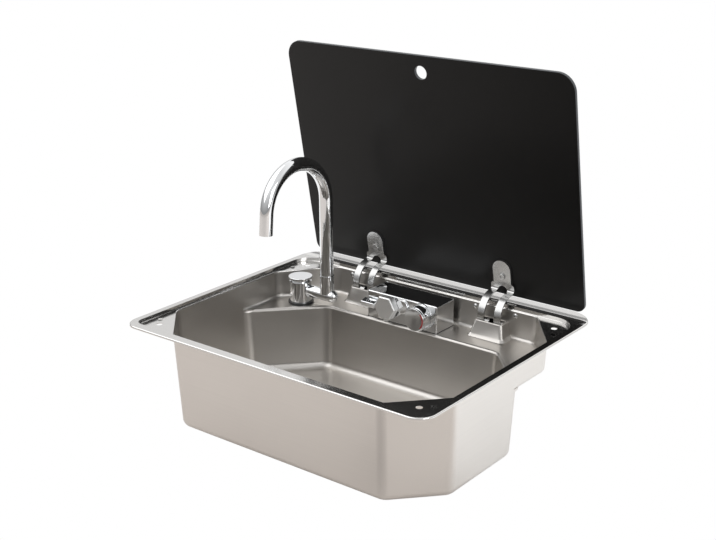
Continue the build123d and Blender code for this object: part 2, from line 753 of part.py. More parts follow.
def arm(x):
    top = GLASS_LOW - PAD_THICKNESS
    low = top - ARM_THICKNESS
    below = low - CUT
    tip = HINGE_EDGE_Y - TONGUE_TIP
    body = Pos(-ARM_WIDTH / 2, 0, 0) * extrude(Plane.YZ * arm_profile(), ARM_WIDTH)
    plan = tongue_outline(tip, PIVOT_Y - ARM_BEND)
    plan = extrude(Pos(0, 0, below) * plan, top + CUT - below)
    far_y = PIVOT_Y + 2 * ARM_RADIUS
    far_z = PIVOT_Z - 2 * ARM_RADIUS
    rest = block(-ARM_WIDTH, ARM_WIDTH, tip - CUT, far_y, far_z, below)
    behind = block(-ARM_WIDTH, ARM_WIDTH, PIVOT_Y - ARM_BEND - CUT, PIVOT_Y + CUT, below, top)
    body = body & (plan + rest + behind)
    half = ARM_SLOT / 2
    arch = HINGE_EDGE_Y - ARM_ARCH + half
    body = body - upright(half, 0, arch, below - CUT, top + CUT)
    body = body - block(-half, half, arch, far_y, far_z, top + CUT)
    body = body - block(-half, half, HINGE_EDGE_Y - ARM_ARCH, arch + CUT, far_z, below)
    clamp_y = HINGE_EDGE_Y - CLAMP_TO_EDGE
    body = body - upright(CLAMP_SCREW_R + FIT, 0, clamp_y, below, top + CUT)
    return opened(Pos(x, 0, 0) * body)


def lid_glass():
    low = HINGE_EDGE_Y - LID_DEPTH
    glass = plate(LID_WIDTH / 2, low, HINGE_EDGE_Y, LID_CORNERS, GLASS_LOW, GLASS_TOP)
    glass = fillet(glass.faces().sort_by(Axis.Z)[-1].edges(), LID_EDGE_ROUND)
    glass = fillet(glass.faces().sort_by(Axis.Z)[0].edges(), LID_EDGE_ROUND)
    hole_y = HINGE_EDGE_Y - FINGER_HOLE_TO_HINGE
    glass = glass - upright(FINGER_HOLE_R, 0, hole_y, GLASS_LOW - CUT, GLASS_TOP + CUT)
    clamp_y = HINGE_EDGE_Y - CLAMP_TO_EDGE
    for x in HINGES:
        glass = glass - upright(CLAMP_HOLE_R, x, clamp_y, GLASS_LOW - CUT, GLASS_TOP + CUT)
    return opened(glass)


def clamp_parts():
    """Pads, screws, sleeves and outer caps that hold the glass to the two arms."""
    pads, screws, sleeves, caps = [], [], [], []
    y = HINGE_EDGE_Y - CLAMP_TO_EDGE
    tip = HINGE_EDGE_Y - TONGUE_TIP
    shoulder = HINGE_EDGE_Y - TONGUE_BASE
    arm_low = GLASS_LOW - PAD_THICKNESS - ARM_THICKNESS
    for x in HINGES:
        sheet = Pos(x, 0, GLASS_LOW - PAD_THICKNESS) * extrude(tongue_outline(tip, shoulder), PAD_THICKNESS)
        pads.append(sheet - upright(CLAMP_SCREW_R + FIT, x, y, arm_low, GLASS_TOP))
        head = upright(CLAMP_HEAD_R, x, y, arm_low - CLAMP_HEAD, arm_low)
        head = fillet(head.faces().sort_by(Axis.Z)[0].edges(), CLAMP_HEAD / 4)
        socket_low = arm_low - CLAMP_HEAD
        head = head - nut(2 * CLAMP_SOCKET_R, 0, x, y, socket_low, socket_low + CLAMP_SOCKET)
        screws.append(head + upright(CLAMP_SCREW_R, x, y, arm_low, GLASS_TOP + CLAMP_GRIP))
        sleeves.append(upright_tube(CLAMP_HOLE_R - FIT, CLAMP_SCREW_R + FIT, x, y, GLASS_LOW, GLASS_TOP))
        cap = upright(CLAMP_CAP_R, x, y, GLASS_TOP, GLASS_TOP + CLAMP_CAP)
        cap = fillet(cap.faces().sort_by(Axis.Z)[-1].edges(), CLAMP_CAP / 3)
        caps.append(cap - upright(CLAMP_SCREW_R + FIT, x, y, GLASS_TOP - CUT, GLASS_TOP + CLAMP_GRIP + GAP))
    return [opened(Compound(children=group)) for group in (pads, screws, sleeves, caps)]


# ---------------------------------------------------------------- fold-down tap
def tap_parts():
    shelf = SHELF_Z
    ring_top = shelf + TAP_RING
    save(upright_tube(TAP_RING_R, TAP_SHANK_R + FIT, TAP_X, TAP_Y, shelf, ring_top), "tap_base_ring")
    floor = ring_top + TAP_FLOOR
    seat = TAP_BODY_TOP - CARTRIDGE_HEIGHT
    body = upright(TAP_BODY_R, TAP_X, TAP_Y, ring_top, TAP_BODY_TOP)
    body = body - upright(TAP_CAVITY_R, TAP_X, TAP_Y, floor, TAP_BODY_TOP + CUT)
    body = body - upright(CARTRIDGE_R + FIT, TAP_X, TAP_Y, seat, TAP_BODY_TOP + CUT)
    body = body - upright(TAP_SHANK_R + FIT, TAP_X, TAP_Y, ring_top - CUT, floor + CUT)
    face = TAP_X + TAP_BODY_R + GAP
    body = body - rod(LINK_SPINDLE_R + FIT, (TAP_X, TAP_Y, LINK_Z), (face + CUT, TAP_Y, LINK_Z))
    save(body, "tap_body")
    cartridge = upright(CARTRIDGE_R, TAP_X, TAP_Y, seat, TAP_BODY_TOP)
    save(cartridge + upright(STEM_R, TAP_X, TAP_Y, TAP_BODY_TOP, TAP_BODY_TOP + STEM), "tap_cartridge")
    cap_low = TAP_CAP_TOP - TAP_CAP
    cap = upright(TAP_CAP_R, TAP_X, TAP_Y, cap_low, TAP_CAP_TOP)
    cap = fillet(cap.edges(), TAP_CAP / 5)
    cap = cap + upright(TAP_HUB_R, TAP_X, TAP_Y, TAP_BODY_TOP + GAP, cap_low)
    save(cap - upright(STEM_R + FIT, TAP_X, TAP_Y, TAP_BODY_TOP, TAP_BODY_TOP + STEM + GAP), "tap_cap")
    link = rod(LINK_R, (face, TAP_Y, LINK_Z), (LINK_END_X, TAP_Y, LINK_Z))
    link = link + Pos(LINK_END_X, TAP_Y, LINK_Z) * Sphere(LINK_R)
    link = link + upright(SOCKET_R, SPOUT_X, TAP_Y, SOCKET_LOW_Z, SOCKET_TOP_Z)
    link = link + rod(LINK_SPINDLE_R, (face - LINK_SPINDLE, TAP_Y, LINK_Z), (face, TAP_Y, LINK_Z))
    link = link - rod(LINK_BORE_R, (face - LINK_SPINDLE - CUT, TAP_Y, LINK_Z), (SPOUT_X, TAP_Y, LINK_Z))
    link = link - upright(LINK_BORE_R, SPOUT_X, TAP_Y, LINK_Z - LINK_BORE_R, SOCKET_BORE_Z)
    link = link - upright(SOCKET_BORE_R, SPOUT_X, TAP_Y, SOCKET_BORE_Z, SOCKET_TOP_Z + CUT)
    recess = (face - CUT, TAP_Y, LINK_Z), (face + SEAL_HEIGHT, TAP_Y, LINK_Z)
    link = link - tube(LINK_R - SEAL_OVERHANG, LINK_SPINDLE_R + FIT, *recess)
    save(link, "tap_link")
    seal = tube(
        LINK_R - SEAL_OVERHANG - FIT, LINK_SPINDLE_R + 2 * FIT,
        (face, TAP_Y, LINK_Z), (face + SEAL_HEIGHT, TAP_Y, LINK_Z),
    )
    save(seal, "tap_link_seal")
    clip = TAP_X + sqrt(TAP_CAVITY_R ** 2 - LINK_CLIP_R ** 2) - GAP
    line = (clip - LINK_CLIP, TAP_Y, LINK_Z), (clip, TAP_Y, LINK_Z)
    save(tube(LINK_CLIP_R, LINK_SPINDLE_R + FIT, *line), "tap_link_clip")
    shank_top = ring_top + TAP_FLOOR
    low = shank_top - TAP_SHANK_LENGTH
    spigot_top = low + TAP_SPIGOT
    shank = upright(TAP_SHANK_R, TAP_X, TAP_Y, spigot_top, shank_top)
    shank = shank + upright(TAP_SPIGOT_R, TAP_X, TAP_Y, low, spigot_top)
    save(shank - upright(TAP_SHANK_R - SHANK_WALL, TAP_X, TAP_Y, low - CUT, shank_top + CUT), "tap_shank")
    washer_low = SHELF_UNDER - WASHER_HEIGHT
    washer = upright_tube(TAP_WASHER_R, TAP_SHANK_R + FIT, TAP_X, TAP_Y, washer_low, SHELF_UNDER)
    save(washer, "tap_washer")
    save(nut(NUT_WIDTH, TAP_SHANK_R + FIT, TAP_X, TAP_Y, washer_low - NUT_HEIGHT, washer_low), "tap_nut")


def spout_parts():
    foot = SOCKET_TOP_Z + GAP / 2
    collar_top = foot + COLLAR_HEIGHT
    collar = upright_tube(SOCKET_R, SPOUT_TAIL_R + FIT, SPOUT_X, TAP_Y, foot, collar_top)
    save(collar, "spout_collar")
    arc_y = TAP_Y - SPOUT_ARC_R
    turn = radians(SPOUT_SWEEP)
    half = turn / 2
    begin = (SPOUT_X, TAP_Y, SPOUT_ARC_Z)
    middle = (SPOUT_X, arc_y + SPOUT_ARC_R * cos(half), SPOUT_ARC_Z + SPOUT_ARC_R * sin(half))
    finish = (SPOUT_X, arc_y + SPOUT_ARC_R * cos(turn), SPOUT_ARC_Z + SPOUT_ARC_R * sin(turn))
    way = Vector(0, -sin(turn), cos(turn))
    end = Vector(*finish) + way * SPOUT_DROP
    bend = ThreePointArc(begin, middle, finish)
    outline = Plane(origin=begin, z_dir=(0, 0, 1)) * (Circle(SPOUT_R) - Circle(SPOUT_R - SPOUT_WALL))
    neck = sweep(outline, path=bend)
    neck = neck + upright_tube(SPOUT_R, SPOUT_R - SPOUT_WALL, SPOUT_X, TAP_Y, collar_top, SPOUT_ARC_Z)
    neck = neck + tube(SPOUT_R, SPOUT_R - SPOUT_WALL, finish, end)
    tail_low = SOCKET_BORE_Z + GAP
    step = collar_top + SPOUT_WALL
    neck = neck + upright(SPOUT_R, SPOUT_X, TAP_Y, collar_top, step)
    neck = neck + upright(SPOUT_TAIL_R, SPOUT_X, TAP_Y, tail_low, step)
    neck = neck - upright(SPOUT_TAIL_R - SPOUT_TAIL_WALL, SPOUT_X, TAP_Y, tail_low - CUT, step + CUT)
    seals = []
    for z in (tail_low + SEAL_HEIGHT, tail_low + 4 * SEAL_HEIGHT):
        groove = SPOUT_TAIL_R - SEAL_DEPTH
        neck = neck - upright_tube(SPOUT_TAIL_R + CUT, groove, SPOUT_X, TAP_Y, z, z + SEAL_HEIGHT)
        seals.append(upright_tube(SPOUT_TAIL_R, groove + FIT, SPOUT_X, TAP_Y, z, z + SEAL_HEIGHT))
    save(neck, "spout_tube")
    save(Compound(children=seals), "spout_seals")
    inside = SPOUT_R - SPOUT_WALL - FIT
    top = end - way * AERATOR
    aerator = tube(inside, inside - 2 * SPOUT_WALL, top, end)
    mesh = top + way * SPOUT_WALL
    save(aerator + rod(inside - SPOUT_WALL, top, mesh), "spout_aerator")


# ---------------------------------------------------------------- box mixer
SHANK_X = [
    (BOX_LEFT_X + BOX_RIGHT_X) / 2 + side * SHANK_SPACING / 2 for side in (-1, 1)
]


def mixer_body_parts():
    low = SHELF_Z + BOX_SEAL
    wide = (BOX_LEFT_X, BOX_RIGHT_X, BOX_FRONT_Y, BOX_BACK_Y)
    gasket = block(*wide, SHELF_Z, low)
    for x in SHANK_X:
        gasket = gasket - upright(MIXER_SHANK_R + 2 * GAP, x, SHANK_Y, SHELF_Z - CUT, low + CUT)
    save(gasket, "mixer_gasket")
    housing = block(*wide, low, BOX_TOP_Z)
    sharp = [e for e in housing.edges() if e.center().Z > low + CUT]
    housing = fillet(sharp, BOX_ROUND)
    housing = housing - block(
        BOX_LEFT_X + BOX_WALL, BOX_RIGHT_X - BOX_WALL, BOX_FRONT_Y + BOX_WALL, BOX_BACK_Y - BOX_WALL,
        low - CUT, BOX_TOP_Z - BOX_WALL,
    )
    inside = BOX_FRONT_Y + BOX_WALL + CUT
    for x, z, radius in (
        (KNOB_X, KNOB_Z, MIXER_CARTRIDGE_R + GAP), (HEAD_X, HEAD_Z, HEAD_STUB_R + FIT),
        (PLUG_X, PLUG_Z, PLUG_STEM_R + FIT),
    ):
        housing = housing - rod(radius, (x, BOX_FRONT_Y - CUT, z), (x, inside, z))
    save(housing, "mixer_housing")
    manifold = block(
        BOX_LEFT_X + MANIFOLD_SIDE, BOX_RIGHT_X - BOX_WALL - GAP, MANIFOLD_FRONT_Y, MANIFOLD_BACK_Y,
        low, MANIFOLD_TOP_Z,
    )
    pocket = MANIFOLD_FRONT_Y + POCKET_DEPTH
    stub_end = MANIFOLD_FRONT_Y + POCKET_DEPTH / 3
    open_y = MANIFOLD_FRONT_Y - CUT
    manifold = manifold - along_y(MIXER_CARTRIDGE_R + FIT, KNOB_X, KNOB_Z, open_y, pocket)
    manifold = manifold - along_y(HEAD_STUB_R + FIT, HEAD_X, HEAD_Z, open_y, stub_end)
    manifold = manifold - along_y(HEAD_WAY_R, HEAD_X, HEAD_Z, MANIFOLD_FRONT_Y, SHANK_Y)
    manifold = manifold - rod(GALLERY_R, (HEAD_X, SHANK_Y, HEAD_Z), (KNOB_X, SHANK_Y, HEAD_Z))
    manifold = manifold - along_y(GALLERY_R, KNOB_X, KNOB_Z, pocket - CUT, SHANK_Y)
    grip = low + MIXER_SHANK_GRIP
    for x in SHANK_X:
        manifold = manifold - upright(MIXER_SHANK_R + FIT, x, SHANK_Y, low - CUT, grip)
        manifold = manifold - upright(GALLERY_R, x, SHANK_Y, grip, HEAD_Z)
    save(manifold, "mixer_manifold")
    tubes, washers, nuts = [], [], []
    washer_low = SHELF_UNDER - WASHER_HEIGHT
    nut_low = washer_low - NUT_HEIGHT
    for x in SHANK_X:
        low_end = grip - MIXER_SHANK_LENGTH
        spigot_top = low_end + MIXER_SPIGOT
        shank = upright(MIXER_SHANK_R, x, SHANK_Y, spigot_top, grip)
        shank = shank + upright(MIXER_SPIGOT_R, x, SHANK_Y, low_end, spigot_top)
        tubes.append(shank - upright(MIXER_SHANK_R - SHANK_WALL, x, SHANK_Y, low_end - CUT, grip + CUT))
        washers.append(upright_tube(MIXER_WASHER_R, MIXER_SHANK_R + FIT, x, SHANK_Y, washer_low, SHELF_UNDER))
        nuts.append(nut(MIXER_NUT_WIDTH, MIXER_SHANK_R + FIT, x, SHANK_Y, nut_low, washer_low))
    save(Compound(children=tubes), "mixer_shanks")
    save(Compound(children=washers), "mixer_washers")
    save(Compound(children=nuts), "mixer_nuts")


def mixer_front_parts():
    plate_y = BOX_FRONT_Y - ESCUTCHEON
    ring = along_y(ESCUTCHEON_R, KNOB_X, KNOB_Z, plate_y, BOX_FRONT_Y)
    ring = ring - along_y(MIXER_CARTRIDGE_R + FIT, KNOB_X, KNOB_Z, plate_y - CUT, BOX_FRONT_Y + CUT)
    save(fillet(ring.faces().sort_by(Axis.Y)[0].edges(), ESCUTCHEON / 6), "mixer_escutcheon")
    core_y = plate_y + GAP
    core = along_y(MIXER_CARTRIDGE_R, KNOB_X, KNOB_Z, core_y, MANIFOLD_FRONT_Y + POCKET_DEPTH)
    stem_y = KNOB_FRONT_Y + KNOB_FACE
    save(core + along_y(STEM_R, KNOB_X, KNOB_Z, stem_y, core_y), "mixer_cartridge")
    knob_back = plate_y - GAP
    knob = along_y(KNOB_R, KNOB_X, KNOB_Z, KNOB_FRONT_Y + KNOB_FACE, knob_back)
    knob = fillet(knob.edges(), KNOB_ROUND / 2)
    face = along_y(KNOB_FACE_R, KNOB_X, KNOB_Z, KNOB_FRONT_Y, stem_y + KNOB_WALL)
    knob = knob + fillet(face.faces().sort_by(Axis.Y)[0].edges(), KNOB_ROUND)
    hollow = stem_y + KNOB_WALL
    back_end = knob_back + CUT
    knob = knob - tube(KNOB_R - KNOB_WALL, KNOB_BOSS_R, (KNOB_X, hollow, KNOB_Z), (KNOB_X, back_end, KNOB_Z))
    knob = knob - along_y(STEM_R + FIT, KNOB_X, KNOB_Z, stem_y, knob_back + CUT)
    knob = knob - along_y(KNOB_BOSS_R + CUT, KNOB_X, KNOB_Z, knob_back - CUT, knob_back + CUT)
    grub_y = (hollow + knob_back) / 2
    line = (KNOB_X, grub_y, KNOB_Z - STEM_R), (KNOB_X, grub_y, KNOB_Z - KNOB_R - CUT)
    knob = knob - rod(GRUB_R + FIT, *line)
    save(knob, "mixer_knob")
    grub = (KNOB_X, grub_y, KNOB_Z - STEM_R - FIT), (KNOB_X, grub_y, KNOB_Z - KNOB_BOSS_R)
    save(rod(GRUB_R, *grub), "knob_screw")
    far = 2 * KNOB_R * cos(radians(INDEX_REACH))
    side = 2 * KNOB_R * sin(radians(INDEX_REACH))
    wedge = make_face(Polyline((0, 0), (far, -side), (far, side), close=True))
    band = (Circle(INDEX_OUTER_R) - Circle(INDEX_INNER_R)) & wedge
    front = Plane(origin=(KNOB_X, KNOB_FRONT_Y, KNOB_Z), x_dir=(1, 0, 0), z_dir=(0, -1, 0))
    save(extrude(front * band, INDEX_HEIGHT), "knob_index")
    plug_y = BOX_FRONT_Y - PLUG_PROUD
    plug = along_y(PLUG_R, PLUG_X, PLUG_Z, plug_y, BOX_FRONT_Y)
    plug = fillet(plug.faces().sort_by(Axis.Y)[0].edges(), PLUG_ROUND)
    plug = plug + along_y(PLUG_STEM_R, PLUG_X, PLUG_Z, BOX_FRONT_Y, BOX_FRONT_Y + 2 * BOX_WALL)
    save(plug, "mixer_plug")


def outlet_parts():
    hexagon = RegularPolygon(HEAD_WIDTH / 2, 6, major_radius=False)
    back = Plane(origin=(HEAD_X, HEAD_BACK_Y, HEAD_Z), x_dir=(1, 0, 0), z_dir=(0, -1, 0))
    head = extrude(back * hexagon, HEAD_BACK_Y - HEAD_FRONT_Y)
    head = chamfer(head.faces().sort_by(Axis.Y)[0].edges(), HEAD_CHAMFER)
    head = head + along_y(HEAD_NECK_R, HEAD_X, HEAD_Z, HEAD_BACK_Y - CUT, BOX_FRONT_Y)
    head = head + along_y(HEAD_STUB_R, HEAD_X, HEAD_Z, BOX_FRONT_Y, MANIFOLD_FRONT_Y + POCKET_DEPTH / 3)
    head = head + upright(NOZZLE_R, HEAD_X, NOZZLE_Y, NOZZLE_LOW_Z, HEAD_Z)
    corner = HEAD_X - HEAD_WIDTH / sqrt(3)
    head = head - along_y(HEAD_WAY_R, HEAD_X, HEAD_Z, BAR_Y, MANIFOLD_FRONT_Y + POCKET_DEPTH)
    head = head - upright(HEAD_WAY_R, HEAD_X, NOZZLE_Y, NOZZLE_LOW_Z - CUT, HEAD_Z)
    head = head - rod(VALVE_R + FIT, (VALVE_LEFT_X, BAR_Y, HEAD_Z), (VALVE_RIGHT_X, BAR_Y, HEAD_Z))
    head = head - rod(BAR_SPINDLE_R + FIT, (corner - CUT, BAR_Y, HEAD_Z), (VALVE_LEFT_X, BAR_Y, HEAD_Z))
    save(head, "outlet_head")
    top = NOZZLE_LOW_Z + NOZZLE_AERATOR
    ring = upright_tube(HEAD_WAY_R - FIT, HEAD_WAY_R - AERATOR_WALL, HEAD_X, NOZZLE_Y, NOZZLE_LOW_Z, top)
    plug = upright(HEAD_WAY_R - AERATOR_WALL / 2, HEAD_X, NOZZLE_Y, top - AERATOR_WALL, top)
    save(ring + plug, "outlet_aerator")
    valve = rod(VALVE_R, (VALVE_LEFT_X, BAR_Y, HEAD_Z), (VALVE_RIGHT_X, BAR_Y, HEAD_Z))
    valve = valve - upright(VALVE_WAY_R, HEAD_X, BAR_Y, HEAD_Z - HEAD_WIDTH / 2, HEAD_Z)
    valve = valve - along_y(VALVE_WAY_R, HEAD_X, HEAD_Z, BAR_Y, BOX_FRONT_Y)
    save(valve, "flow_valve")
    bar_right = corner - GAP
    bar = block(
        BAR_LEFT_X, bar_right, BAR_Y - BAR_DEPTH / 2, BAR_Y + BAR_DEPTH / 2,
        HEAD_Z - BAR_HEIGHT / 2, HEAD_Z + BAR_HEIGHT / 2,
    )
    bar = fillet(bar.edges(), BAR_ROUND)
    middle = (BAR_LEFT_X + bar_right) / 2
    top = HEAD_Z + BAR_HEIGHT / 2
    for index in range(GRIP_COUNT):
        x = middle + (index - (GRIP_COUNT - 1) / 2) * GRIP_PITCH
        groove = Rot(0, 0, GRIP_SLANT) * Box(GRIP_WIDTH, BAR_DEPTH - 4 * BAR_ROUND, 2 * GRIP_DEPTH)
        bar = bar - Pos(x, BAR_Y, top) * groove
    bar = bar.rotate(Axis((0, BAR_Y, HEAD_Z), (1, 0, 0)), BAR_LEAN)
    bar = bar + rod(BAR_SPINDLE_R, (bar_right, BAR_Y, HEAD_Z), (VALVE_LEFT_X, BAR_Y, HEAD_Z))
    save(bar, "flow_bar")


# ---------------------------------------------------------------- waste
def waste_parts():
    floor = FLOOR_Z - PRESSING_DEPTH
    seal_top = floor + WASTE_SEAL
    save(upright_tube(FLANGE_R - CUT, WASTE_SEAL_R, 0, WASTE_Y, floor, seal_top), "waste_top_gasket")
    flange_top = seal_top + FLANGE
    sleeve_low = seal_top - SLEEVE_DEPTH
    bore = SLEEVE_R - SLEEVE_WALL
    flange = upright_tube(FLANGE_R, bore, 0, WASTE_Y, seal_top, flange_top)
    flange = flange + upright_tube(SLEEVE_R, bore, 0, WASTE_Y, sleeve_low, seal_top)
    cross_top = sleeve_low + CROSS
    reach = bore + SLEEVE_WALL / 2
    half = CROSS_RIB / 2
    flange = flange + block(-reach, reach, WASTE_Y - half, WASTE_Y + half, sleeve_low, cross_top)
    flange = flange + block(-half, half, WASTE_Y - reach, WASTE_Y + reach, sleeve_low, cross_top)
    flange = flange + upright(CROSS_HUB_R, 0, WASTE_Y, sleeve_low, cross_top)
    flange = flange - upright(WASTE_SCREW_R + FIT, 0, WASTE_Y, sleeve_low - CUT, cross_top + CUT)
    save(flange, "waste_flange")
    under = floor - SHEET
    cup_top = under - WASTE_LOWER_SEAL
    save(upright_tube(FLANGE_R, WASTE_HOLE_R + GAP, 0, WASTE_Y, cup_top, under), "waste_lower_gasket")
    flange_low = cup_top - CUP_FLANGE
    cup_low = cup_top - CUP_DEPTH
    body = upright(FLANGE_R, 0, WASTE_Y, flange_low, cup_top) + upright(CUP_R, 0, WASTE_Y, cup_low, cup_top)
    tail_z = cup_top - TAIL_DROP
    tail = (0, WASTE_Y, tail_z), (0, WASTE_Y + TAIL_LENGTH, tail_z)
    collar_y = WASTE_Y + TAIL_LENGTH - TAIL_GRIP
    body = body + rod(TAIL_R, *tail)
    body = body + rod(TAIL_COLLAR_R, (0, collar_y - TAIL_COLLAR, tail_z), (0, collar_y, tail_z))
    body = body - upright(CUP_R - CUP_WALL, 0, WASTE_Y, cup_low + CUP_WALL, cup_top + CUT)
    body = body - rod(TAIL_R - TAIL_WALL, tail[0], (0, WASTE_Y + TAIL_LENGTH + CUT, tail_z))
    boss_top = cup_top - CUP_BOSS_TOP
    body = body + upright(CROSS_HUB_R, 0, WASTE_Y, cup_low, boss_top)
    body = body - upright(WASTE_SCREW_R + FIT, 0, WASTE_Y, cup_low + CUP_WALL, boss_top + CUT)
    save(body, "waste_body")
    screw = upright(WASTE_SCREW_HEAD_R, 0, WASTE_Y, cross_top, cross_top + WASTE_SCREW_HEAD)
    screw = screw + upright(WASTE_SCREW_R, 0, WASTE_Y, cross_top - WASTE_SCREW_LENGTH, cross_top)
    save(screw, "waste_screw")
    rim_top = flange_top + BASKET_SHEET
    basket_low = flange_top - BASKET_DEPTH
    basket = upright_tube(BASKET_RIM_R, BASKET_R - BASKET_SHEET, 0, WASTE_Y, flange_top, rim_top)
    basket = basket + upright_tube(BASKET_R, BASKET_R - BASKET_SHEET, 0, WASTE_Y, basket_low, flange_top)
    basket = basket + upright(BASKET_R, 0, WASTE_Y, basket_low, basket_low + BASKET_SHEET)
    ring = PolarLocations(BASKET_RING_R, BASKET_HOLES)
    inner = PolarLocations(BASKET_RING_R * 0.6, BASKET_HOLES - 4)
    for spot in list(ring) + list(inner):
        x, y = spot.position.X, WASTE_Y + spot.position.Y
        basket = basket - upright(BASKET_HOLE_R, x, y, basket_low - CUT, basket_low + 2 * CUT)
    groove = basket_low + 2 * BASKET_SHEET
    save(basket - upright(KNOB_STEM_R, 0, WASTE_Y, basket_low - CUT, basket_low + 2 * CUT), "strainer_basket")
    seal = upright_tube(bore - FIT, BASKET_R + FIT, 0, WASTE_Y, groove, groove + SEAL_HEIGHT)
    save(seal, "strainer_seal")
    knob_low = rim_top + STRAINER_KNOB_LIFT
    knob = upright(STRAINER_KNOB_R, 0, WASTE_Y, knob_low, knob_low + STRAINER_KNOB)
    knob = fillet(knob.edges(), STRAINER_KNOB / 4)
    knob = knob + upright(2 * KNOB_STEM_R, 0, WASTE_Y, basket_low + BASKET_SHEET, knob_low)
    pin = upright(KNOB_STEM_R - FIT, 0, WASTE_Y, basket_low, basket_low + BASKET_SHEET)
    save(knob + pin, "strainer_knob")


os.makedirs("parts", exist_ok=True)
save(pan(), "sink_pan")
save(rim_gasket(), "rim_gasket")
save(bumpers(), "lid_bumpers")
save(bracket(HINGES[0]), "hinge_bracket_left")
save(bracket(HINGES[1]), "hinge_bracket_right")
save(hinge_troughs(), "hinge_troughs")
save(hinge_pins(), "hinge_pins")
save(hinge_rivets(), "hinge_rivets")
save(friction_washers(), "hinge_friction_washers")
save(lid_glass(), "lid_glass")
save(arm(HINGES[0]), "hinge_arm_left")
save(arm(HINGES[1]), "hinge_arm_right")
CLAMP_NAMES = ("lid_pads", "lid_clamp_screws", "lid_clamp_sleeves", "lid_clamp_caps")
for shape, name in zip(clamp_parts(), CLAMP_NAMES):
    save(shape, name)
tap_parts()
spout_parts()
mixer_body_parts()
mixer_front_parts()
outlet_parts()
waste_parts()
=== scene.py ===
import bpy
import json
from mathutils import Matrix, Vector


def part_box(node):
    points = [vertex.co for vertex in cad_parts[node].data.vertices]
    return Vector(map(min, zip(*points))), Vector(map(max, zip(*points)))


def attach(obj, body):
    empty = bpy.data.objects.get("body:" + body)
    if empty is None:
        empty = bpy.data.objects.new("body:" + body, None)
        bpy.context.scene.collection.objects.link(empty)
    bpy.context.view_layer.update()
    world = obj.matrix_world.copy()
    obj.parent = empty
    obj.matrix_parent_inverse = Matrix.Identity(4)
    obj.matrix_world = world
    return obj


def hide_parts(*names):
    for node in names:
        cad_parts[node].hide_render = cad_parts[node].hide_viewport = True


bl_info = {
    "name": "Camper sink with glass lid",
    "version": (1, 0, 0),
    "blender": (4, 5, 0),
    "location": "View3D > Sidebar > Sink",
    "description": "Dresses the pressed steel sink, its glass lid, swan-neck tap and box mixer",
    "category": "Object",
}

import json
from math import cos, pi, radians, sin, sqrt

import bmesh
import bpy
from bpy.props import FloatProperty, FloatVectorProperty, IntProperty, PointerProperty
from bpy.types import Operator, Panel, PropertyGroup
from mathutils import Matrix, Vector
from mathutils.bvhtree import BVHTree

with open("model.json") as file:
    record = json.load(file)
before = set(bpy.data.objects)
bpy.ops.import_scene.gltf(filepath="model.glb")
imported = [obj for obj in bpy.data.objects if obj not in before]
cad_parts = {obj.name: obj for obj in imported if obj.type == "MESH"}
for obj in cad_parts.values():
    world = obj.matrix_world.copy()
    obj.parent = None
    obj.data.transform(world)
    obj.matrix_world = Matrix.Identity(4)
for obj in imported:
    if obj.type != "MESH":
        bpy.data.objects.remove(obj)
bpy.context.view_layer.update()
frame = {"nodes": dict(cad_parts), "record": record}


# ---------------------------------------------------------------- measures taken from the frame
def middle(node):
    low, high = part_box(node)
    return (low + high) / 2


LID_OPEN = radians(79.4)      # lean of the open glass against the closed one
ARC_Z = 0.144                 # height where the swan neck starts to bend
ARC_STEPS = 120
SWEEP = radians(175.0)
DROP = 0.031                  # straight end of the spout
TUBE_WALL = 0.0015
OUTLET_REACH = 0.03           # the spout's open end lies at least this far in front of its foot
THREAD_PITCH = 0.0015
THREAD_RIDGE = 0.0004
THREAD_SIDES = 4
THREAD_POINTS = 48            # points in one turn of a thread
THREAD_SEEN = 0.0045          # thread that shows below a nut
SKIN_STEP = 0.0002            # start of the test ray in front of a face
LEDGE_LOW = -0.0012           # faces above this height belong to the polished rim
BAND_FRONT = 0.2045           # front edge of the rear rim's visible band
BAND_WIDTH = 0.0245
BAND_CROWN = 0.0024           # rise of that band's crown

SOFT_ANGLE = radians(32)      # folds flatter than this are shaded smoothly
PAN_ANGLE = radians(28)
TUBE_ANGLE = radians(40)
CORNER_MERGE = 2e-6
NORMAL_WEIGHT = 80
GLASS_FACING = 0.94           # faces turned further than this belong to the ground edge

# The camera sees the floor as plain white. The tones are painted shade and light that metal and glass
# reflect of it and that the floor bounces onto the object.
FLOOR_HALF = 6.0
PALE_FROM = -0.13             # the floor's painted shade turns from warm to pale painted light behind this line
PALE_GAIN = 6.0
# Painted light behind, painted shade in front and darker painted shade in one patch.
PAINTED_PALE_LIGHT = (0.97, 0.97, 0.97)
PAINTED_WARM_SHADE = (0.60, 0.560, 0.532)
PAINTED_DARK_SHADE = (0.34, 0.315, 0.30)
SHADE_X, SHADE_Y = 0.20, -0.42    # middle of a patch of darker painted shade in front
SHADE_GAIN = 22.0
HORIZON_GLOW = 0.40
CEILING_GLOW = 0.65           # added in full above a height of 1 / CEILING_GAIN
CEILING_GAIN = 1.6
REAR_GLOW = 0.7
KEY_SIZE, KEY_SPOT = (3.2, 2.6), (-1.2, -0.9, 1.9)
SIDE_SIZE, SIDE_SPOT = (1.2, 1.4), (2.2, -0.6, 0.9)
SIDE_SHARE = 0.5              # power of the side light as a share of the key light's
LENS = 63.66
CAMERA_SPOT = (1.1082, -1.3967, 0.7062)
CAMERA_RIGHT = (0.7861, 0.6181, -0.0056)
CAMERA_BACK = (0.5857, -0.7419, 0.3266)
WHITE = (1.0, 1.0, 1.0, 1.0)


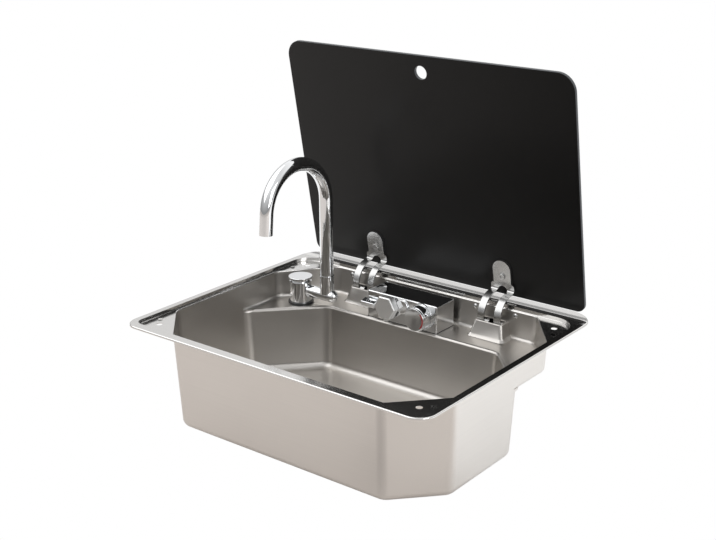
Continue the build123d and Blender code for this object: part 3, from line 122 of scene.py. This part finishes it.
# ---------------------------------------------------------------- sizes and colours a user may change
class SteelSettings(PropertyGroup):
    """Pressed and brushed sheet of the sink. Its inside, rim and outside colours differ as painted shade and
    light: the inside darker, the outside lighter and warmer.
    """

    colour: FloatVectorProperty(
        name="Inside colour", description="Reflected colour of the brushed inside",
        subtype="COLOR", size=3, min=0.0, max=1.0, default=(0.56, 0.54, 0.515))
    rim_colour: FloatVectorProperty(
        name="Rim colour", description="Reflected colour of the polished rim",
        subtype="COLOR", size=3, min=0.0, max=1.0, default=(0.74, 0.73, 0.715))
    outer_colour: FloatVectorProperty(
        name="Outside colour", description="Reflected colour of the satin outside",
        subtype="COLOR", size=3, min=0.0, max=1.0, default=(0.80, 0.775, 0.745))
    roughness: FloatProperty(
        name="Inside roughness", description="Mean roughness of the brushed inside",
        subtype="FACTOR", min=0.0, max=1.0, default=0.33)
    rim_roughness: FloatProperty(
        name="Rim roughness", description="Mean roughness of the polished rim",
        subtype="FACTOR", min=0.0, max=1.0, default=0.17)
    outer_roughness: FloatProperty(
        name="Outside roughness", description="Mean roughness of the satin outside",
        subtype="FACTOR", min=0.0, max=1.0, default=0.36)
    grain: FloatProperty(
        name="Grain depth", description="Depth of the brushing lines",
        subtype="DISTANCE", min=0.0, max=0.001, default=0.000006)
    streak: FloatProperty(
        name="Streak contrast", description="How much the brushing lines change the shine",
        subtype="FACTOR", min=0.0, max=1.0, default=0.10)


class ChromeSettings(PropertyGroup):
    """Polished plating of the tap and mixer."""

    colour: FloatVectorProperty(
        name="Chrome colour", description="Reflected colour of the plating",
        subtype="COLOR", size=3, min=0.0, max=1.0, default=(0.86, 0.87, 0.88))
    roughness: FloatProperty(
        name="Chrome roughness", description="Mean roughness of the plating",
        subtype="FACTOR", min=0.0, max=1.0, default=0.05)


class GlassSettings(PropertyGroup):
    """Dark toughened glass of the lid."""

    colour: FloatVectorProperty(
        name="Glass colour", description="Body colour of the dark glass",
        subtype="COLOR", size=3, min=0.0, max=1.0, default=(0.0102, 0.0100, 0.0099))
    edge_colour: FloatVectorProperty(
        name="Edge colour", description="Colour of the ground edge",
        subtype="COLOR", size=3, min=0.0, max=1.0, default=(0.05, 0.055, 0.06))


class SpoutSettings(PropertyGroup):
    """Bent tube of the tap."""

    radius: FloatProperty(
        name="Tube radius", description="Outside radius of the spout tube",
        subtype="DISTANCE", min=0.002, max=0.03, default=0.011)
    rings: IntProperty(
        name="Rings", description="Points along the tube's line", min=16, max=400, default=160)
    sides: IntProperty(
        name="Sides", description="Points round the tube", min=12, max=96, default=56)


class StageSettings(PropertyGroup):
    """Floor, light and view."""

    floor_gap: FloatProperty(
        name="Floor below waste", description="Height of the waste over the floor",
        subtype="DISTANCE", min=0.0, max=1.0, default=0.0)
    key_power: FloatProperty(
        name="Key power", description="Power of the main soft light",
        subtype="POWER", min=0.0, max=500.0, default=30.0)
    fill: FloatProperty(
        name="Room light", description="Strength of the even light from all round",
        min=0.0, max=3.0, default=0.75)


# ---------------------------------------------------------------- shader maths
class Node:
    """A shader socket whose operators add the Math nodes they stand for."""

    def __init__(self, tree, socket):
        self.tree = tree
        self.socket = socket

    def math(self, operation, other=None, swap=False):
        terms = dict(enumerate((other, self) if swap else (self, other)))
        return Builder(self.tree).add("ShaderNodeMath", settings={"operation": operation}, slots=terms)

    def __add__(self, other):
        return self.math("ADD", other)

    def __sub__(self, other):
        return self.math("SUBTRACT", other)

    def __rsub__(self, other):
        return self.math("SUBTRACT", other, swap=True)

    def __mul__(self, other):
        return self.math("MULTIPLY", other)

    def __truediv__(self, other):
        return self.math("DIVIDE", other)

    def __rtruediv__(self, other):
        return self.math("DIVIDE", other, swap=True)

    __radd__ = __add__
    __rmul__ = __mul__

    def clip(self):
        return self.math("MINIMUM", 1.0).math("MAXIMUM", 0.0)

    def absolute(self):
        return self.math("ABSOLUTE")

    def cosine(self):
        return self.math("COSINE")


def put(tree, slot, value):
    """Sets a socket's value, or links it to one node or to each of a list."""
    if isinstance(value, Node):
        tree.links.new(value.socket, slot)
    elif isinstance(value, list):
        for node in value:
            put(tree, slot, node)
    elif value is not None:
        slot.default_value = (*value, 1.0) if slot.type == "RGBA" and len(value) == 3 else value


class Builder:
    """Adds every node of a tree."""

    def __init__(self, tree):
        self.tree = tree

    def add(self, kind, outlet=0, settings=None, slots=None, **values):
        """Sets a new node's settings, then its sockets by number or by name, with _ for a space."""
        node = self.tree.nodes.new(kind)
        for key, value in (settings or {}).items():
            setattr(node, key, value)
        for key, value in (slots or {}).items():
            put(self.tree, node.inputs[key], value)
        for key, value in values.items():
            put(self.tree, node.inputs[key.replace("_", " ")], value)
        return Node(self.tree, node.outputs[outlet] if node.outputs else None)

    def axis(self, name, kind="ShaderNodeTexCoord", outlet="Object"):
        """One component of a vector, by default of the place on the object."""
        vector = self.add(kind, outlet=outlet)
        return self.add("ShaderNodeSeparateXYZ", outlet=name, Vector=vector)

    def white_to_camera(self, kind, shader):
        """Plain white to the camera and the shader to all other rays."""
        white = self.add(kind, Color=WHITE, Strength=1.0)
        seen = self.add("ShaderNodeLightPath", outlet="Is Camera Ray")
        self.add(self.output, Surface=self.add("ShaderNodeMixShader", slots={0: seen, 1: shader, 2: white}))


class Rule(Builder):
    """One geometry rule with named inputs, ending in real geometry with its material."""

    def __init__(self, name):
        super().__init__(bpy.data.node_groups.new(name, "GeometryNodeTree"))
        self.values = {}
        for way in ("INPUT", "OUTPUT"):
            self.tree.interface.new_socket(name="Geometry", in_out=way, socket_type="NodeSocketGeometry")
        self.line = self.add("NodeGroupInput", outlet="Geometry")

    def number(self, name, value):
        kind = "NodeSocketInt" if isinstance(value, int) else "NodeSocketFloat"
        socket = self.tree.interface.new_socket(name=name, in_out="INPUT", socket_type=kind)
        self.values[socket.identifier] = value
        return self.add("NodeGroupInput", outlet=name)

    def build(self, shape, material, points, name):
        """Runs the rule along a row of points and returns a plain mesh object."""
        real = self.add("GeometryNodeRealizeInstances", Geometry=shape)
        done = self.add("GeometryNodeSetMaterial", Geometry=real, Material=material)
        self.add("NodeGroupOutput", Geometry=done)
        mesh = bpy.data.meshes.new(name)
        mesh.from_pydata(points, [(i, i + 1) for i in range(len(points) - 1)], [])
        piece = new_object(name, mesh)
        rule = piece.modifiers.new("rule", "NODES")
        rule.node_group = self.tree
        for key, value in self.values.items():
            rule[key] = value
        return apply_modifiers(piece)


class Finish(Builder):
    """One material under construction."""

    output = "ShaderNodeOutputMaterial"

    def __init__(self, name):
        self.material = bpy.data.materials.new(name)
        self.material.use_nodes = True
        super().__init__(self.material.node_tree)
        self.tree.nodes.clear()

    def place(self, scale=(1.0, 1.0, 1.0)):
        spot = self.add("ShaderNodeTexCoord", outlet="Object")
        return self.add("ShaderNodeMapping", Vector=spot, Scale=scale)

    def noise(self, where, scale, detail=3.0, rough=0.5):
        return self.add("ShaderNodeTexNoise", Vector=where, Scale=scale, Detail=detail, Roughness=rough)

    def mix(self, factor, first, second):
        colours = {0: factor, 6: first, 7: second}
        return self.add("ShaderNodeMix", outlet=2, settings={"data_type": "RGBA"}, slots=colours)

    def bump(self, height, distance=1.0):
        return self.add("ShaderNodeBump", Height=height, Distance=distance)

    def uneven(self, mean, *parts):
        """A mean value that wanders with each pattern by its amount."""
        value = mean
        for pattern, amount in parts:
            value = (pattern - 0.5) * amount + value
        return value.clip()

    def surface(self, **values):
        self.add(self.output, Surface=self.add("ShaderNodeBsdfPrincipled", **values))
        return self.material


class Room(Builder):
    """The light from all round."""

    output = "ShaderNodeOutputWorld"

    def __init__(self, name):
        world = bpy.data.worlds.new(name)
        world.use_nodes = True
        bpy.context.scene.world = world
        super().__init__(world.node_tree)
        self.tree.nodes.clear()


# ---------------------------------------------------------------- finishes
def shades(colour, first, second):
    """Two shades of one colour."""
    return tuple(c * first for c in colour), tuple(min(1.0, c * second) for c in colour)


def brushed(name, colour, roughness, streak, grain, crown=0.0):
    """Brushed sheet: fine lines along X, or along Y where the sheet faces sideways."""
    finish = Finish(name)
    fine, long = 900.0, 6.0
    lines_x = finish.noise(finish.place(scale=(long, fine, fine)), 1.0, detail=4.0, rough=0.6)
    lines_y = finish.noise(finish.place(scale=(fine, long, fine)), 1.0, detail=4.0, rough=0.6)
    turned = finish.axis("X", "ShaderNodeNewGeometry", "Normal").absolute()
    side = ((turned - 0.62) * 8.0).clip()
    lines = lines_x * (1.0 - side) + lines_y * side
    cloud = finish.noise(finish.place(), 9.0, detail=2.0)
    smear = finish.noise(finish.place(scale=(1.0, 1.0, 1.6)), 38.0, detail=4.0, rough=0.62)
    height = lines * grain
    if crown:
        across = ((finish.axis("Y") - BAND_FRONT) / BAND_WIDTH).clip()
        height = height + (1.0 - (across * (2.0 * pi)).cosine()) * (crown / 2.0)
    return finish.surface(
        Base_Color=finish.mix(lines * 0.6 + cloud * 0.4, *shades(colour, 0.93, 1.06)), Metallic=1.0,
        Roughness=finish.uneven(roughness, (lines, streak), (cloud, 0.10), (smear, 0.05)),
        Normal=finish.bump(height))


def plated(name, colour, roughness):
    """Polished plating with faint water marks."""
    finish = Finish(name)
    marks = finish.noise(finish.place(), 60.0, detail=5.0, rough=0.6)
    haze = finish.noise(finish.place(), 14.0, detail=2.0)
    return finish.surface(
        Base_Color=finish.mix(haze, *shades(colour, 0.97, 1.02)), Metallic=1.0,
        Roughness=finish.uneven(roughness, (marks, 0.05), (haze, 0.04)), Normal=finish.bump(haze, 0.00002))


def dark_glass(name, colour, roughness):
    """Black glass with dust and wiping marks, and a painted sheen that makes it paler towards its left side.
    """
    finish = Finish(name)
    dust = finish.noise(finish.place(), 90.0, detail=6.0, rough=0.65)
    smear = finish.noise(finish.place(scale=(1.0, 2.0, 0.6)), 11.0, detail=3.0)
    # painted sheen: the glass colour pales towards the left, its edge wandering with the wiping marks
    painted_light_mask = (0.5 - finish.axis("X") * 1.9 + (smear - 0.5) * 0.12).clip()
    return finish.surface(
        Base_Color=finish.mix(painted_light_mask, *shades(colour, 0.55, 2.4)), Metallic=0.0,
        Roughness=finish.uneven(roughness, (dust, 0.06), (smear, 0.08)), IOR=1.22)


def ground_edge(name, colour, roughness):
    """Ground and dulled edge of the glass."""
    finish = Finish(name)
    grit = finish.noise(finish.place(), 700.0, detail=3.0)
    return finish.surface(
        Base_Color=finish.mix(grit, *shades(colour, 0.8, 1.3)),
        Roughness=finish.uneven(roughness, (grit, 0.2)), Normal=finish.bump(grit, 0.00003))


def moulded(name, colour, roughness, grain):
    """Rubber or plastic with the fine pebble of its mould."""
    finish = Finish(name)
    pebble = finish.noise(finish.place(), 1400.0, detail=2.0)
    cloud = finish.noise(finish.place(), 40.0, detail=3.0)
    return finish.surface(
        Base_Color=finish.mix(cloud, *shades(colour, 0.9, 1.1)),
        Roughness=finish.uneven(roughness, (pebble, 0.12), (cloud, 0.10)), Normal=finish.bump(pebble, grain))


def clear_gel(name, first, second, roughness):
    """Nearly invisible soft pad."""
    finish = Finish(name)
    cloud = finish.noise(finish.place(), 300.0, detail=2.0)
    return finish.surface(
        Base_Color=finish.mix(cloud, first, second),
        Roughness=finish.uneven(roughness, (cloud, 0.1)), IOR=1.05, Transmission_Weight=1.0)


def turned_brass(name, colour, roughness):
    """Turned brass with stains and tool lines."""
    finish = Finish(name)
    stain = finish.noise(finish.place(), 35.0, detail=5.0, rough=0.6)
    lines = finish.noise(finish.place(scale=(1.0, 1.0, 30.0)), 60.0, detail=2.0)
    return finish.surface(
        Base_Color=finish.mix(stain, *shades(colour, 1.0, 0.72)), Metallic=1.0,
        Roughness=finish.uneven(roughness, (stain, 0.18), (lines, 0.08)), Normal=finish.bump(lines, 0.00003))


def finish_values(scene):
    """Maker and values of each finish."""
    steel, chrome, glass = scene.sink_steel, scene.sink_chrome, scene.sink_glass
    streak, grain = steel.streak, steel.grain
    return {
        # One steel sheet in three colours: the darker inside and the lighter, warmer outside are painted
        # shade and light, while the roughness differs as a real finish.
        "pan_steel": (brushed, tuple(steel.colour), steel.roughness, streak, grain),
        "rim_steel": (
            brushed, tuple(steel.rim_colour), steel.rim_roughness, streak / 2, grain / 2, BAND_CROWN),
        "outer_steel": (
            brushed, tuple(steel.outer_colour), steel.outer_roughness, streak / 2, grain / 2),
        "hinge_steel": (brushed, (0.56, 0.56, 0.555), 0.22, 0.10, 0.000006),
        "plated_steel": (brushed, (0.60, 0.61, 0.62), 0.40, 0.08, 0.00001),
        "tap_chrome": (plated, tuple(chrome.colour), chrome.roughness),
        "satin_chrome": (plated, (0.93, 0.93, 0.925), 0.40),
        "black_glass": (dark_glass, tuple(glass.colour), 0.30),
        "glass_edge": (ground_edge, tuple(glass.edge_colour), 0.35),
        "clear_silicone": (clear_gel, (0.94, 0.94, 0.93), (0.98, 0.98, 0.98), 0.10),
        "brass": (turned_brass, (0.72, 0.56, 0.28), 0.30),
        "black_rubber": (moulded, (0.018, 0.018, 0.019), 0.62, 0.00004),
        "black_plastic": (moulded, (0.02, 0.02, 0.021), 0.38, 0.00002),
        "white_plastic": (moulded, (0.74, 0.74, 0.72), 0.45, 0.00002),
        "red_plastic": (moulded, (0.36, 0.045, 0.045), 0.30, 0.00001),
    }


FINISHES = {}


def finish_of(key):
    """Materials are made once and shared."""
    if key not in FINISHES:
        maker, *values = finish_values(bpy.context.scene)[key]
        FINISHES[key] = maker(key, *values)
    return FINISHES[key]


# ---------------------------------------------------------------- mesh helpers
SLOTS = {part["node"]: part["material_slot"] for part in frame["record"]["subparts"]}
BODY_OF = {
    node: body for body, members in frame["record"]["behaviour"]["bodies"].items() for node in members
}


def new_object(name, mesh):
    piece = bpy.data.objects.new(name, mesh)
    bpy.context.scene.collection.objects.link(piece)
    return piece


def set_shading(mesh, angle):
    """Smooth shading that stays crisp over edges sharper than the angle."""
    shape = bmesh.new()
    shape.from_mesh(mesh)
    for face in shape.faces:
        face.smooth = True
    for edge in shape.edges:
        edge.smooth = len(edge.link_faces) == 2 and edge.calc_face_angle(0.0) < angle
    shape.to_mesh(mesh)
    shape.free()


def apply_modifiers(piece):
    bpy.context.view_layer.update()
    graph = bpy.context.evaluated_depsgraph_get()
    mesh = bpy.data.meshes.new_from_object(piece.evaluated_get(graph))
    old = piece.data
    piece.modifiers.clear()
    piece.data = mesh
    bpy.data.meshes.remove(old)
    return piece


def merged_copy(node, angle=SOFT_ANGLE):
    """Copy of a frame node with its corners joined, so that its curves shade smoothly."""
    mesh = frame["nodes"][node].data.copy()
    mesh.name = node + "_skin"
    shape = bmesh.new()
    shape.from_mesh(mesh)
    bmesh.ops.remove_doubles(shape, verts=shape.verts, dist=CORNER_MERGE)
    bmesh.ops.dissolve_degenerate(shape, dist=CORNER_MERGE / 2, edges=shape.edges)
    shape.to_mesh(mesh)
    shape.free()
    set_shading(mesh, angle)
    piece = new_object(node + "_skin", mesh)
    even = piece.modifiers.new("even", "WEIGHTED_NORMAL")
    even.keep_sharp = True
    even.weight = NORMAL_WEIGHT
    return apply_modifiers(piece)


def paint(piece, *keys):
    """Gives a piece its finishes in place of those it has."""
    piece.data.materials.clear()
    for key in keys:
        piece.data.materials.append(finish_of(key))


def keep_below(piece, height):
    """Cuts off what stands above a height."""
    shape = bmesh.new()
    shape.from_mesh(piece.data)
    everything = shape.verts[:] + shape.edges[:] + shape.faces[:]
    bmesh.ops.bisect_plane(
        shape, geom=everything, plane_co=(0.0, 0.0, height), plane_no=(0.0, 0.0, 1.0), clear_outer=True)
    shape.to_mesh(piece.data)
    shape.free()


def join_meshes(piece, *others):
    """Adds the meshes of other objects to the first and removes those objects."""
    shape = bmesh.new()
    shape.from_mesh(piece.data)
    for other in others:
        shape.from_mesh(other.data)
        mesh = other.data
        bpy.data.objects.remove(other)
        bpy.data.meshes.remove(mesh)
    shape.to_mesh(piece.data)
    shape.free()
    return piece


def close_outlet(mesh):
    """Joins the inner and outer skins of the spout at its open end."""
    shape = bmesh.new()
    shape.from_mesh(mesh)
    open_edges = [edge for edge in shape.edges if len(edge.link_faces) == 1]
    foot = max(edge.verts[0].co.y for edge in open_edges)
    outlet = [edge for edge in open_edges if edge.verts[0].co.y < foot - OUTLET_REACH]
    bmesh.ops.bridge_loops(shape, edges=outlet)
    shape.to_mesh(mesh)
    shape.free()


def coil(node, x, y, radius, low, high):
    """Thread ridge wound round a shank."""
    thread = Rule("thread")
    size = thread.number("Radius", radius)
    pitch = thread.number("Pitch", THREAD_PITCH)
    length = thread.number("Length", high - low)
    ridge = thread.number("Ridge", THREAD_RIDGE)
    winding = thread.add(
        "GeometryNodeCurveSpiral", Resolution=THREAD_POINTS, Rotations=length / pitch,
        Start_Radius=size, End_Radius=size, Height=length)
    section = thread.add("GeometryNodeCurvePrimitiveCircle", Resolution=THREAD_SIDES, Radius=ridge)
    wire = thread.add("GeometryNodeCurveToMesh", Curve=winding, Profile_Curve=section, Fill_Caps=True)
    stub = [(0.0, 0.0, 0.0), (0.0, 0.0, THREAD_PITCH)]
    piece = thread.build(wire, finish_of(SLOTS[node]), stub, node + "_thread")
    for vertex in piece.data.vertices:
        vertex.co += Vector((x, y, low))
    return piece


def settle(piece, node):
    """Hands a finished piece to the frame in place of its node."""
    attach(piece, BODY_OF[node])
    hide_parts(node)


def dress(node, finish=None):
    """Smooth copy of a node in the finish of its slot, or in another."""
    piece = merged_copy(node)
    paint(piece, finish or SLOTS[node])
    settle(piece, node)


def threaded(node, spots, top):
    """Shank tubes with a thread below their nuts."""
    low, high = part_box(node)
    radius = (high.y - low.y) / 2 - THREAD_RIDGE / 2
    coils = [coil(node, spot.x, spot.y, radius, top - THREAD_SEEN, top) for spot in spots]
    piece = join_meshes(merged_copy(node), *coils)
    paint(piece, SLOTS[node])
    settle(piece, node)


def dress_all(*nodes):
    for node in nodes:
        dress(node)


# ---------------------------------------------------------------- operators
class SINK_OT_pan(Operator):
    """Pressed steel pan with its rim, recess, shelf and hinge seats"""

    bl_idname = "sink.pan"
    bl_label = "Steel pan"

    def execute(self, context):
        piece = merged_copy("sink_pan", PAN_ANGLE)
        inside, rim, outside = range(3)
        paint(piece, "pan_steel", "rim_steel", "outer_steel")
        points = [vertex.co for vertex in piece.data.vertices]
        skin = BVHTree.FromPolygons(points, [tuple(face.vertices) for face in piece.data.polygons])
        # Faces under the rim take the lighter, warmer outside colour and the rest the darker inside colour
        # or the rim's: painted light and shade on one sheet.
        for face in piece.data.polygons:
            start = face.center + face.normal * SKIN_STEP
            if skin.ray_cast(start, Vector((0.0, 0.0, 1.0)))[0] is not None:
                face.material_index = outside
            else:
                face.material_index = rim if face.center.z > LEDGE_LOW else inside
        settle(piece, "sink_pan")
        return {"FINISHED"}


class SINK_OT_rubber(Operator):
    """Gasket under the rim and bumpers under the lid"""

    bl_idname = "sink.rubber"
    bl_label = "Rim rubber"

    def execute(self, context):
        dress_all("rim_gasket", "lid_bumpers")
        return {"FINISHED"}


class SINK_OT_lid(Operator):
    """Dark glass lid with ground edges"""

    bl_idname = "sink.lid"
    bl_label = "Glass lid"

    def execute(self, context):
        piece = merged_copy("lid_glass")
        paint(piece, "black_glass", "glass_edge")
        across = Vector((0.0, sin(LID_OPEN), cos(LID_OPEN)))
        for face in piece.data.polygons:
            face.material_index = 0 if abs(face.normal.dot(across)) > GLASS_FACING else 1
        settle(piece, "lid_glass")
        return {"FINISHED"}


class SINK_OT_hinges(Operator):
    """Hinge arms, brackets, pins, rivets and the clamps of the glass"""

    bl_idname = "sink.hinges"
    bl_label = "Hinges"

    def execute(self, context):
        dress_all("hinge_arm_left", "hinge_arm_right", "hinge_pins", "hinge_rivets")
        dress_all("hinge_friction_washers", "hinge_bracket_left", "hinge_bracket_right", "hinge_troughs")
        dress_all("lid_pads", "lid_clamp_screws", "lid_clamp_sleeves", "lid_clamp_caps")
        return {"FINISHED"}


class SINK_OT_tap(Operator):
    """Pedestal, disc handle and folding link of the tap"""

    bl_idname = "sink.tap"
    bl_label = "Tap pedestal"

    def execute(self, context):
        dress_all("tap_base_ring", "tap_body", "tap_cap", "tap_cartridge", "tap_link")
        dress_all("tap_link_seal", "tap_link_clip", "tap_washer", "tap_nut")
        threaded("tap_shank", [middle("tap_nut")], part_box("tap_nut")[0].z)
        return {"FINISHED"}


class SINK_OT_spout(Operator):
    """Swan neck with its collar, seals and aerator"""

    bl_idname = "sink.spout"
    bl_label = "Swan neck"

    def execute(self, context):
        settings = context.scene.sink_spout
        low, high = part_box("spout_tube")
        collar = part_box("spout_collar")[1].z
        radius = settings.radius
        x, y = (low.x + high.x) / 2, high.y - radius
        bend = high.z - radius - ARC_Z
        line = [(x, y, collar), (x, y, ARC_Z)]
        for step in range(1, ARC_STEPS + 1):
            turn = SWEEP * step / ARC_STEPS
            line.append((x, y - bend + bend * cos(turn), ARC_Z + bend * sin(turn)))
        way = Vector((0.0, -sin(SWEEP), cos(SWEEP)))
        line.append(tuple(Vector(line[-1]) + way * DROP))
        tube = Rule("bent_tube")
        outer = tube.number("Radius", radius)
        wall = tube.number("Wall", TUBE_WALL)
        rings = tube.number("Rings", settings.rings)
        sides = tube.number("Sides", settings.sides)
        path = tube.add("GeometryNodeMeshToCurve", Mesh=tube.line)
        path = tube.add("GeometryNodeResampleCurve", Curve=path, Count=rings)
        skins = []
        for size in (outer, outer - wall):
            ring = tube.add("GeometryNodeCurvePrimitiveCircle", Resolution=sides, Radius=size)
            skins.append(tube.add("GeometryNodeCurveToMesh", Curve=path, Profile_Curve=ring))
        skins[1] = tube.add("GeometryNodeFlipFaces", Mesh=skins[1])
        both = tube.add("GeometryNodeJoinGeometry", Geometry=skins)
        piece = tube.build(both, finish_of("tap_chrome"), line, "spout_tube_skin")
        tail = merged_copy("spout_tube")
        keep_below(tail, collar)
        piece = join_meshes(piece, tail)
        close_outlet(piece.data)
        set_shading(piece.data, TUBE_ANGLE)
        paint(piece, "tap_chrome")
        settle(piece, "spout_tube")
        dress_all("spout_collar", "spout_seals", "spout_aerator")
        return {"FINISHED"}


class SINK_OT_mixer(Operator):
    """Box mixer with knob, outlet head, bar handle and plug"""

    bl_idname = "sink.mixer"
    bl_label = "Box mixer"

    def execute(self, context):
        dress_all("mixer_housing", "mixer_gasket", "mixer_manifold", "mixer_cartridge", "mixer_escutcheon")
        dress_all("mixer_knob", "knob_index", "knob_screw", "outlet_aerator")
        dress("outlet_head", "satin_chrome")
        dress_all("flow_bar", "flow_valve", "mixer_plug", "mixer_washers", "mixer_nuts")
        low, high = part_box("mixer_nuts")
        side = (high.y - low.y) / sqrt(3.0)
        centre = middle("mixer_nuts")
        spots = [Vector((x, centre.y, 0.0)) for x in (low.x + side, high.x - side)]
        threaded("mixer_shanks", spots, low.z)
        return {"FINISHED"}


class SINK_OT_waste(Operator):
    """Waste with its flange, body and lift-out strainer"""

    bl_idname = "sink.waste"
    bl_label = "Waste"

    def execute(self, context):
        dress_all("waste_flange", "waste_top_gasket", "waste_lower_gasket", "waste_body", "waste_screw")
        dress_all("strainer_basket", "strainer_knob", "strainer_seal")
        return {"FINISHED"}


class SINK_OT_stage(Operator):
    """Floor, soft light and the camera"""

    bl_idname = "sink.stage"
    bl_label = "Stage"

    def execute(self, context):
        settings = context.scene.sink_stage
        make_floor(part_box("waste_body")[0].z - settings.floor_gap)
        make_world(settings.fill)
        make_lights(settings.key_power)
        make_camera()
        return {"FINISHED"}


def make_floor(height):
    """White to the camera, and to other rays painted shade and light: warm in front, pale behind and darker
    in one patch.
    """
    half = FLOOR_HALF
    mesh = bpy.data.meshes.new("floor")
    mesh.from_pydata(
        [(-half, -half, height), (half, -half, height), (half, half, height), (-half, half, height)],
        [], [(0, 1, 2, 3)])
    floor = new_object("floor", mesh)
    finish = Finish("pale_floor")
    x, y = (finish.axis(name) for name in "XY")
    off_x, off_y = x - SHADE_X, y - SHADE_Y
    # painted light behind the line, painted shade in front and darker painted shade in the patch
    painted_light_mask = ((y - PALE_FROM) * PALE_GAIN).clip()
    shade = (1.0 - (off_x * off_x + off_y * off_y) * SHADE_GAIN).clip()
    painted_tone = finish.mix(shade, finish.mix(painted_light_mask, PAINTED_WARM_SHADE, PAINTED_PALE_LIGHT), PAINTED_DARK_SHADE)
    painted_floor_shader = finish.add("ShaderNodeBsdfDiffuse", Color=painted_tone)
    finish.white_to_camera("ShaderNodeEmission", painted_floor_shader)
    floor.data.materials.append(finish.material)


def make_world(fill):
    """White to the camera, and to other rays a glow that grows upwards and to the rear."""
    room = Room("pale_room")
    height, behind = (room.axis(name, outlet="Generated") for name in "ZY")
    glow = (height * CEILING_GAIN).clip() * CEILING_GLOW + HORIZON_GLOW
    glow = glow * (1.0 + behind.clip() * REAR_GLOW)
    light = room.add("ShaderNodeBackground", Color=WHITE, Strength=glow * fill)
    room.white_to_camera("ShaderNodeBackground", light)


def soft_light(name, power, size, spot):
    """Rectangular light that looks at the middle of the rim."""
    data = bpy.data.lights.new(name, "AREA")
    data.shape = "RECTANGLE"
    data.size, data.size_y = size
    data.energy = power
    lamp = bpy.data.objects.new(name, data)
    bpy.context.scene.collection.objects.link(lamp)
    aim = (-Vector(spot)).to_track_quat("-Z", "Y")
    lamp.matrix_world = Matrix.Translation(spot) @ aim.to_matrix().to_4x4()


def make_lights(power):
    soft_light("key_light", power, KEY_SIZE, KEY_SPOT)
    soft_light("side_light", power * SIDE_SHARE, SIDE_SIZE, SIDE_SPOT)


def make_camera():
    data = bpy.data.cameras.new("camera")
    data.sensor_width = 36.0
    data.lens = LENS
    data.clip_end = 20.0
    camera = bpy.data.objects.new("camera", data)
    bpy.context.scene.collection.objects.link(camera)
    right = Vector(CAMERA_RIGHT).normalized()
    up = Vector(CAMERA_BACK).normalized().cross(right).normalized()
    back = right.cross(up)
    turn = Matrix((right, up, back)).transposed().to_4x4()
    camera.matrix_world = Matrix.Translation(CAMERA_SPOT) @ turn
    bpy.context.scene.camera = camera


class SINK_PT_panel(Panel):
    bl_idname = "SINK_PT_panel"
    bl_label = "Sink"
    bl_space_type = "VIEW_3D"
    bl_region_type = "UI"
    bl_category = "Sink"

    def draw(self, context):
        column = self.layout.column(align=True)
        for operator in PIECES:
            column.operator(operator.bl_idname)
        for key in GROUPS:
            group = getattr(context.scene, key)
            box = self.layout.box()
            for name in group.bl_rna.properties.keys():
                if name not in ("rna_type", "name"):
                    box.prop(group, name)


GROUPS = {
    "sink_steel": SteelSettings,
    "sink_chrome": ChromeSettings,
    "sink_glass": GlassSettings,
    "sink_spout": SpoutSettings,
    "sink_stage": StageSettings,
}
PIECES = (
    SINK_OT_pan, SINK_OT_rubber, SINK_OT_lid, SINK_OT_hinges, SINK_OT_tap,
    SINK_OT_spout, SINK_OT_mixer, SINK_OT_waste, SINK_OT_stage,
)


def register():
    for group in GROUPS.values():
        bpy.utils.register_class(group)
    for name, group in GROUPS.items():
        setattr(bpy.types.Scene, name, PointerProperty(type=group))
    for piece in PIECES:
        bpy.utils.register_class(piece)
    bpy.utils.register_class(SINK_PT_panel)


def unregister():
    bpy.utils.unregister_class(SINK_PT_panel)
    for piece in reversed(PIECES):
        bpy.utils.unregister_class(piece)
    for name in GROUPS:
        delattr(bpy.types.Scene, name)
    for group in reversed(list(GROUPS.values())):
        bpy.utils.unregister_class(group)


def main():
    register()
    bpy.context.scene.view_settings.view_transform = "Standard"
    for piece in PIECES:
        group, name = piece.bl_idname.split(".")
        getattr(getattr(bpy.ops, group), name)()


if __name__ == "__main__":
    main()
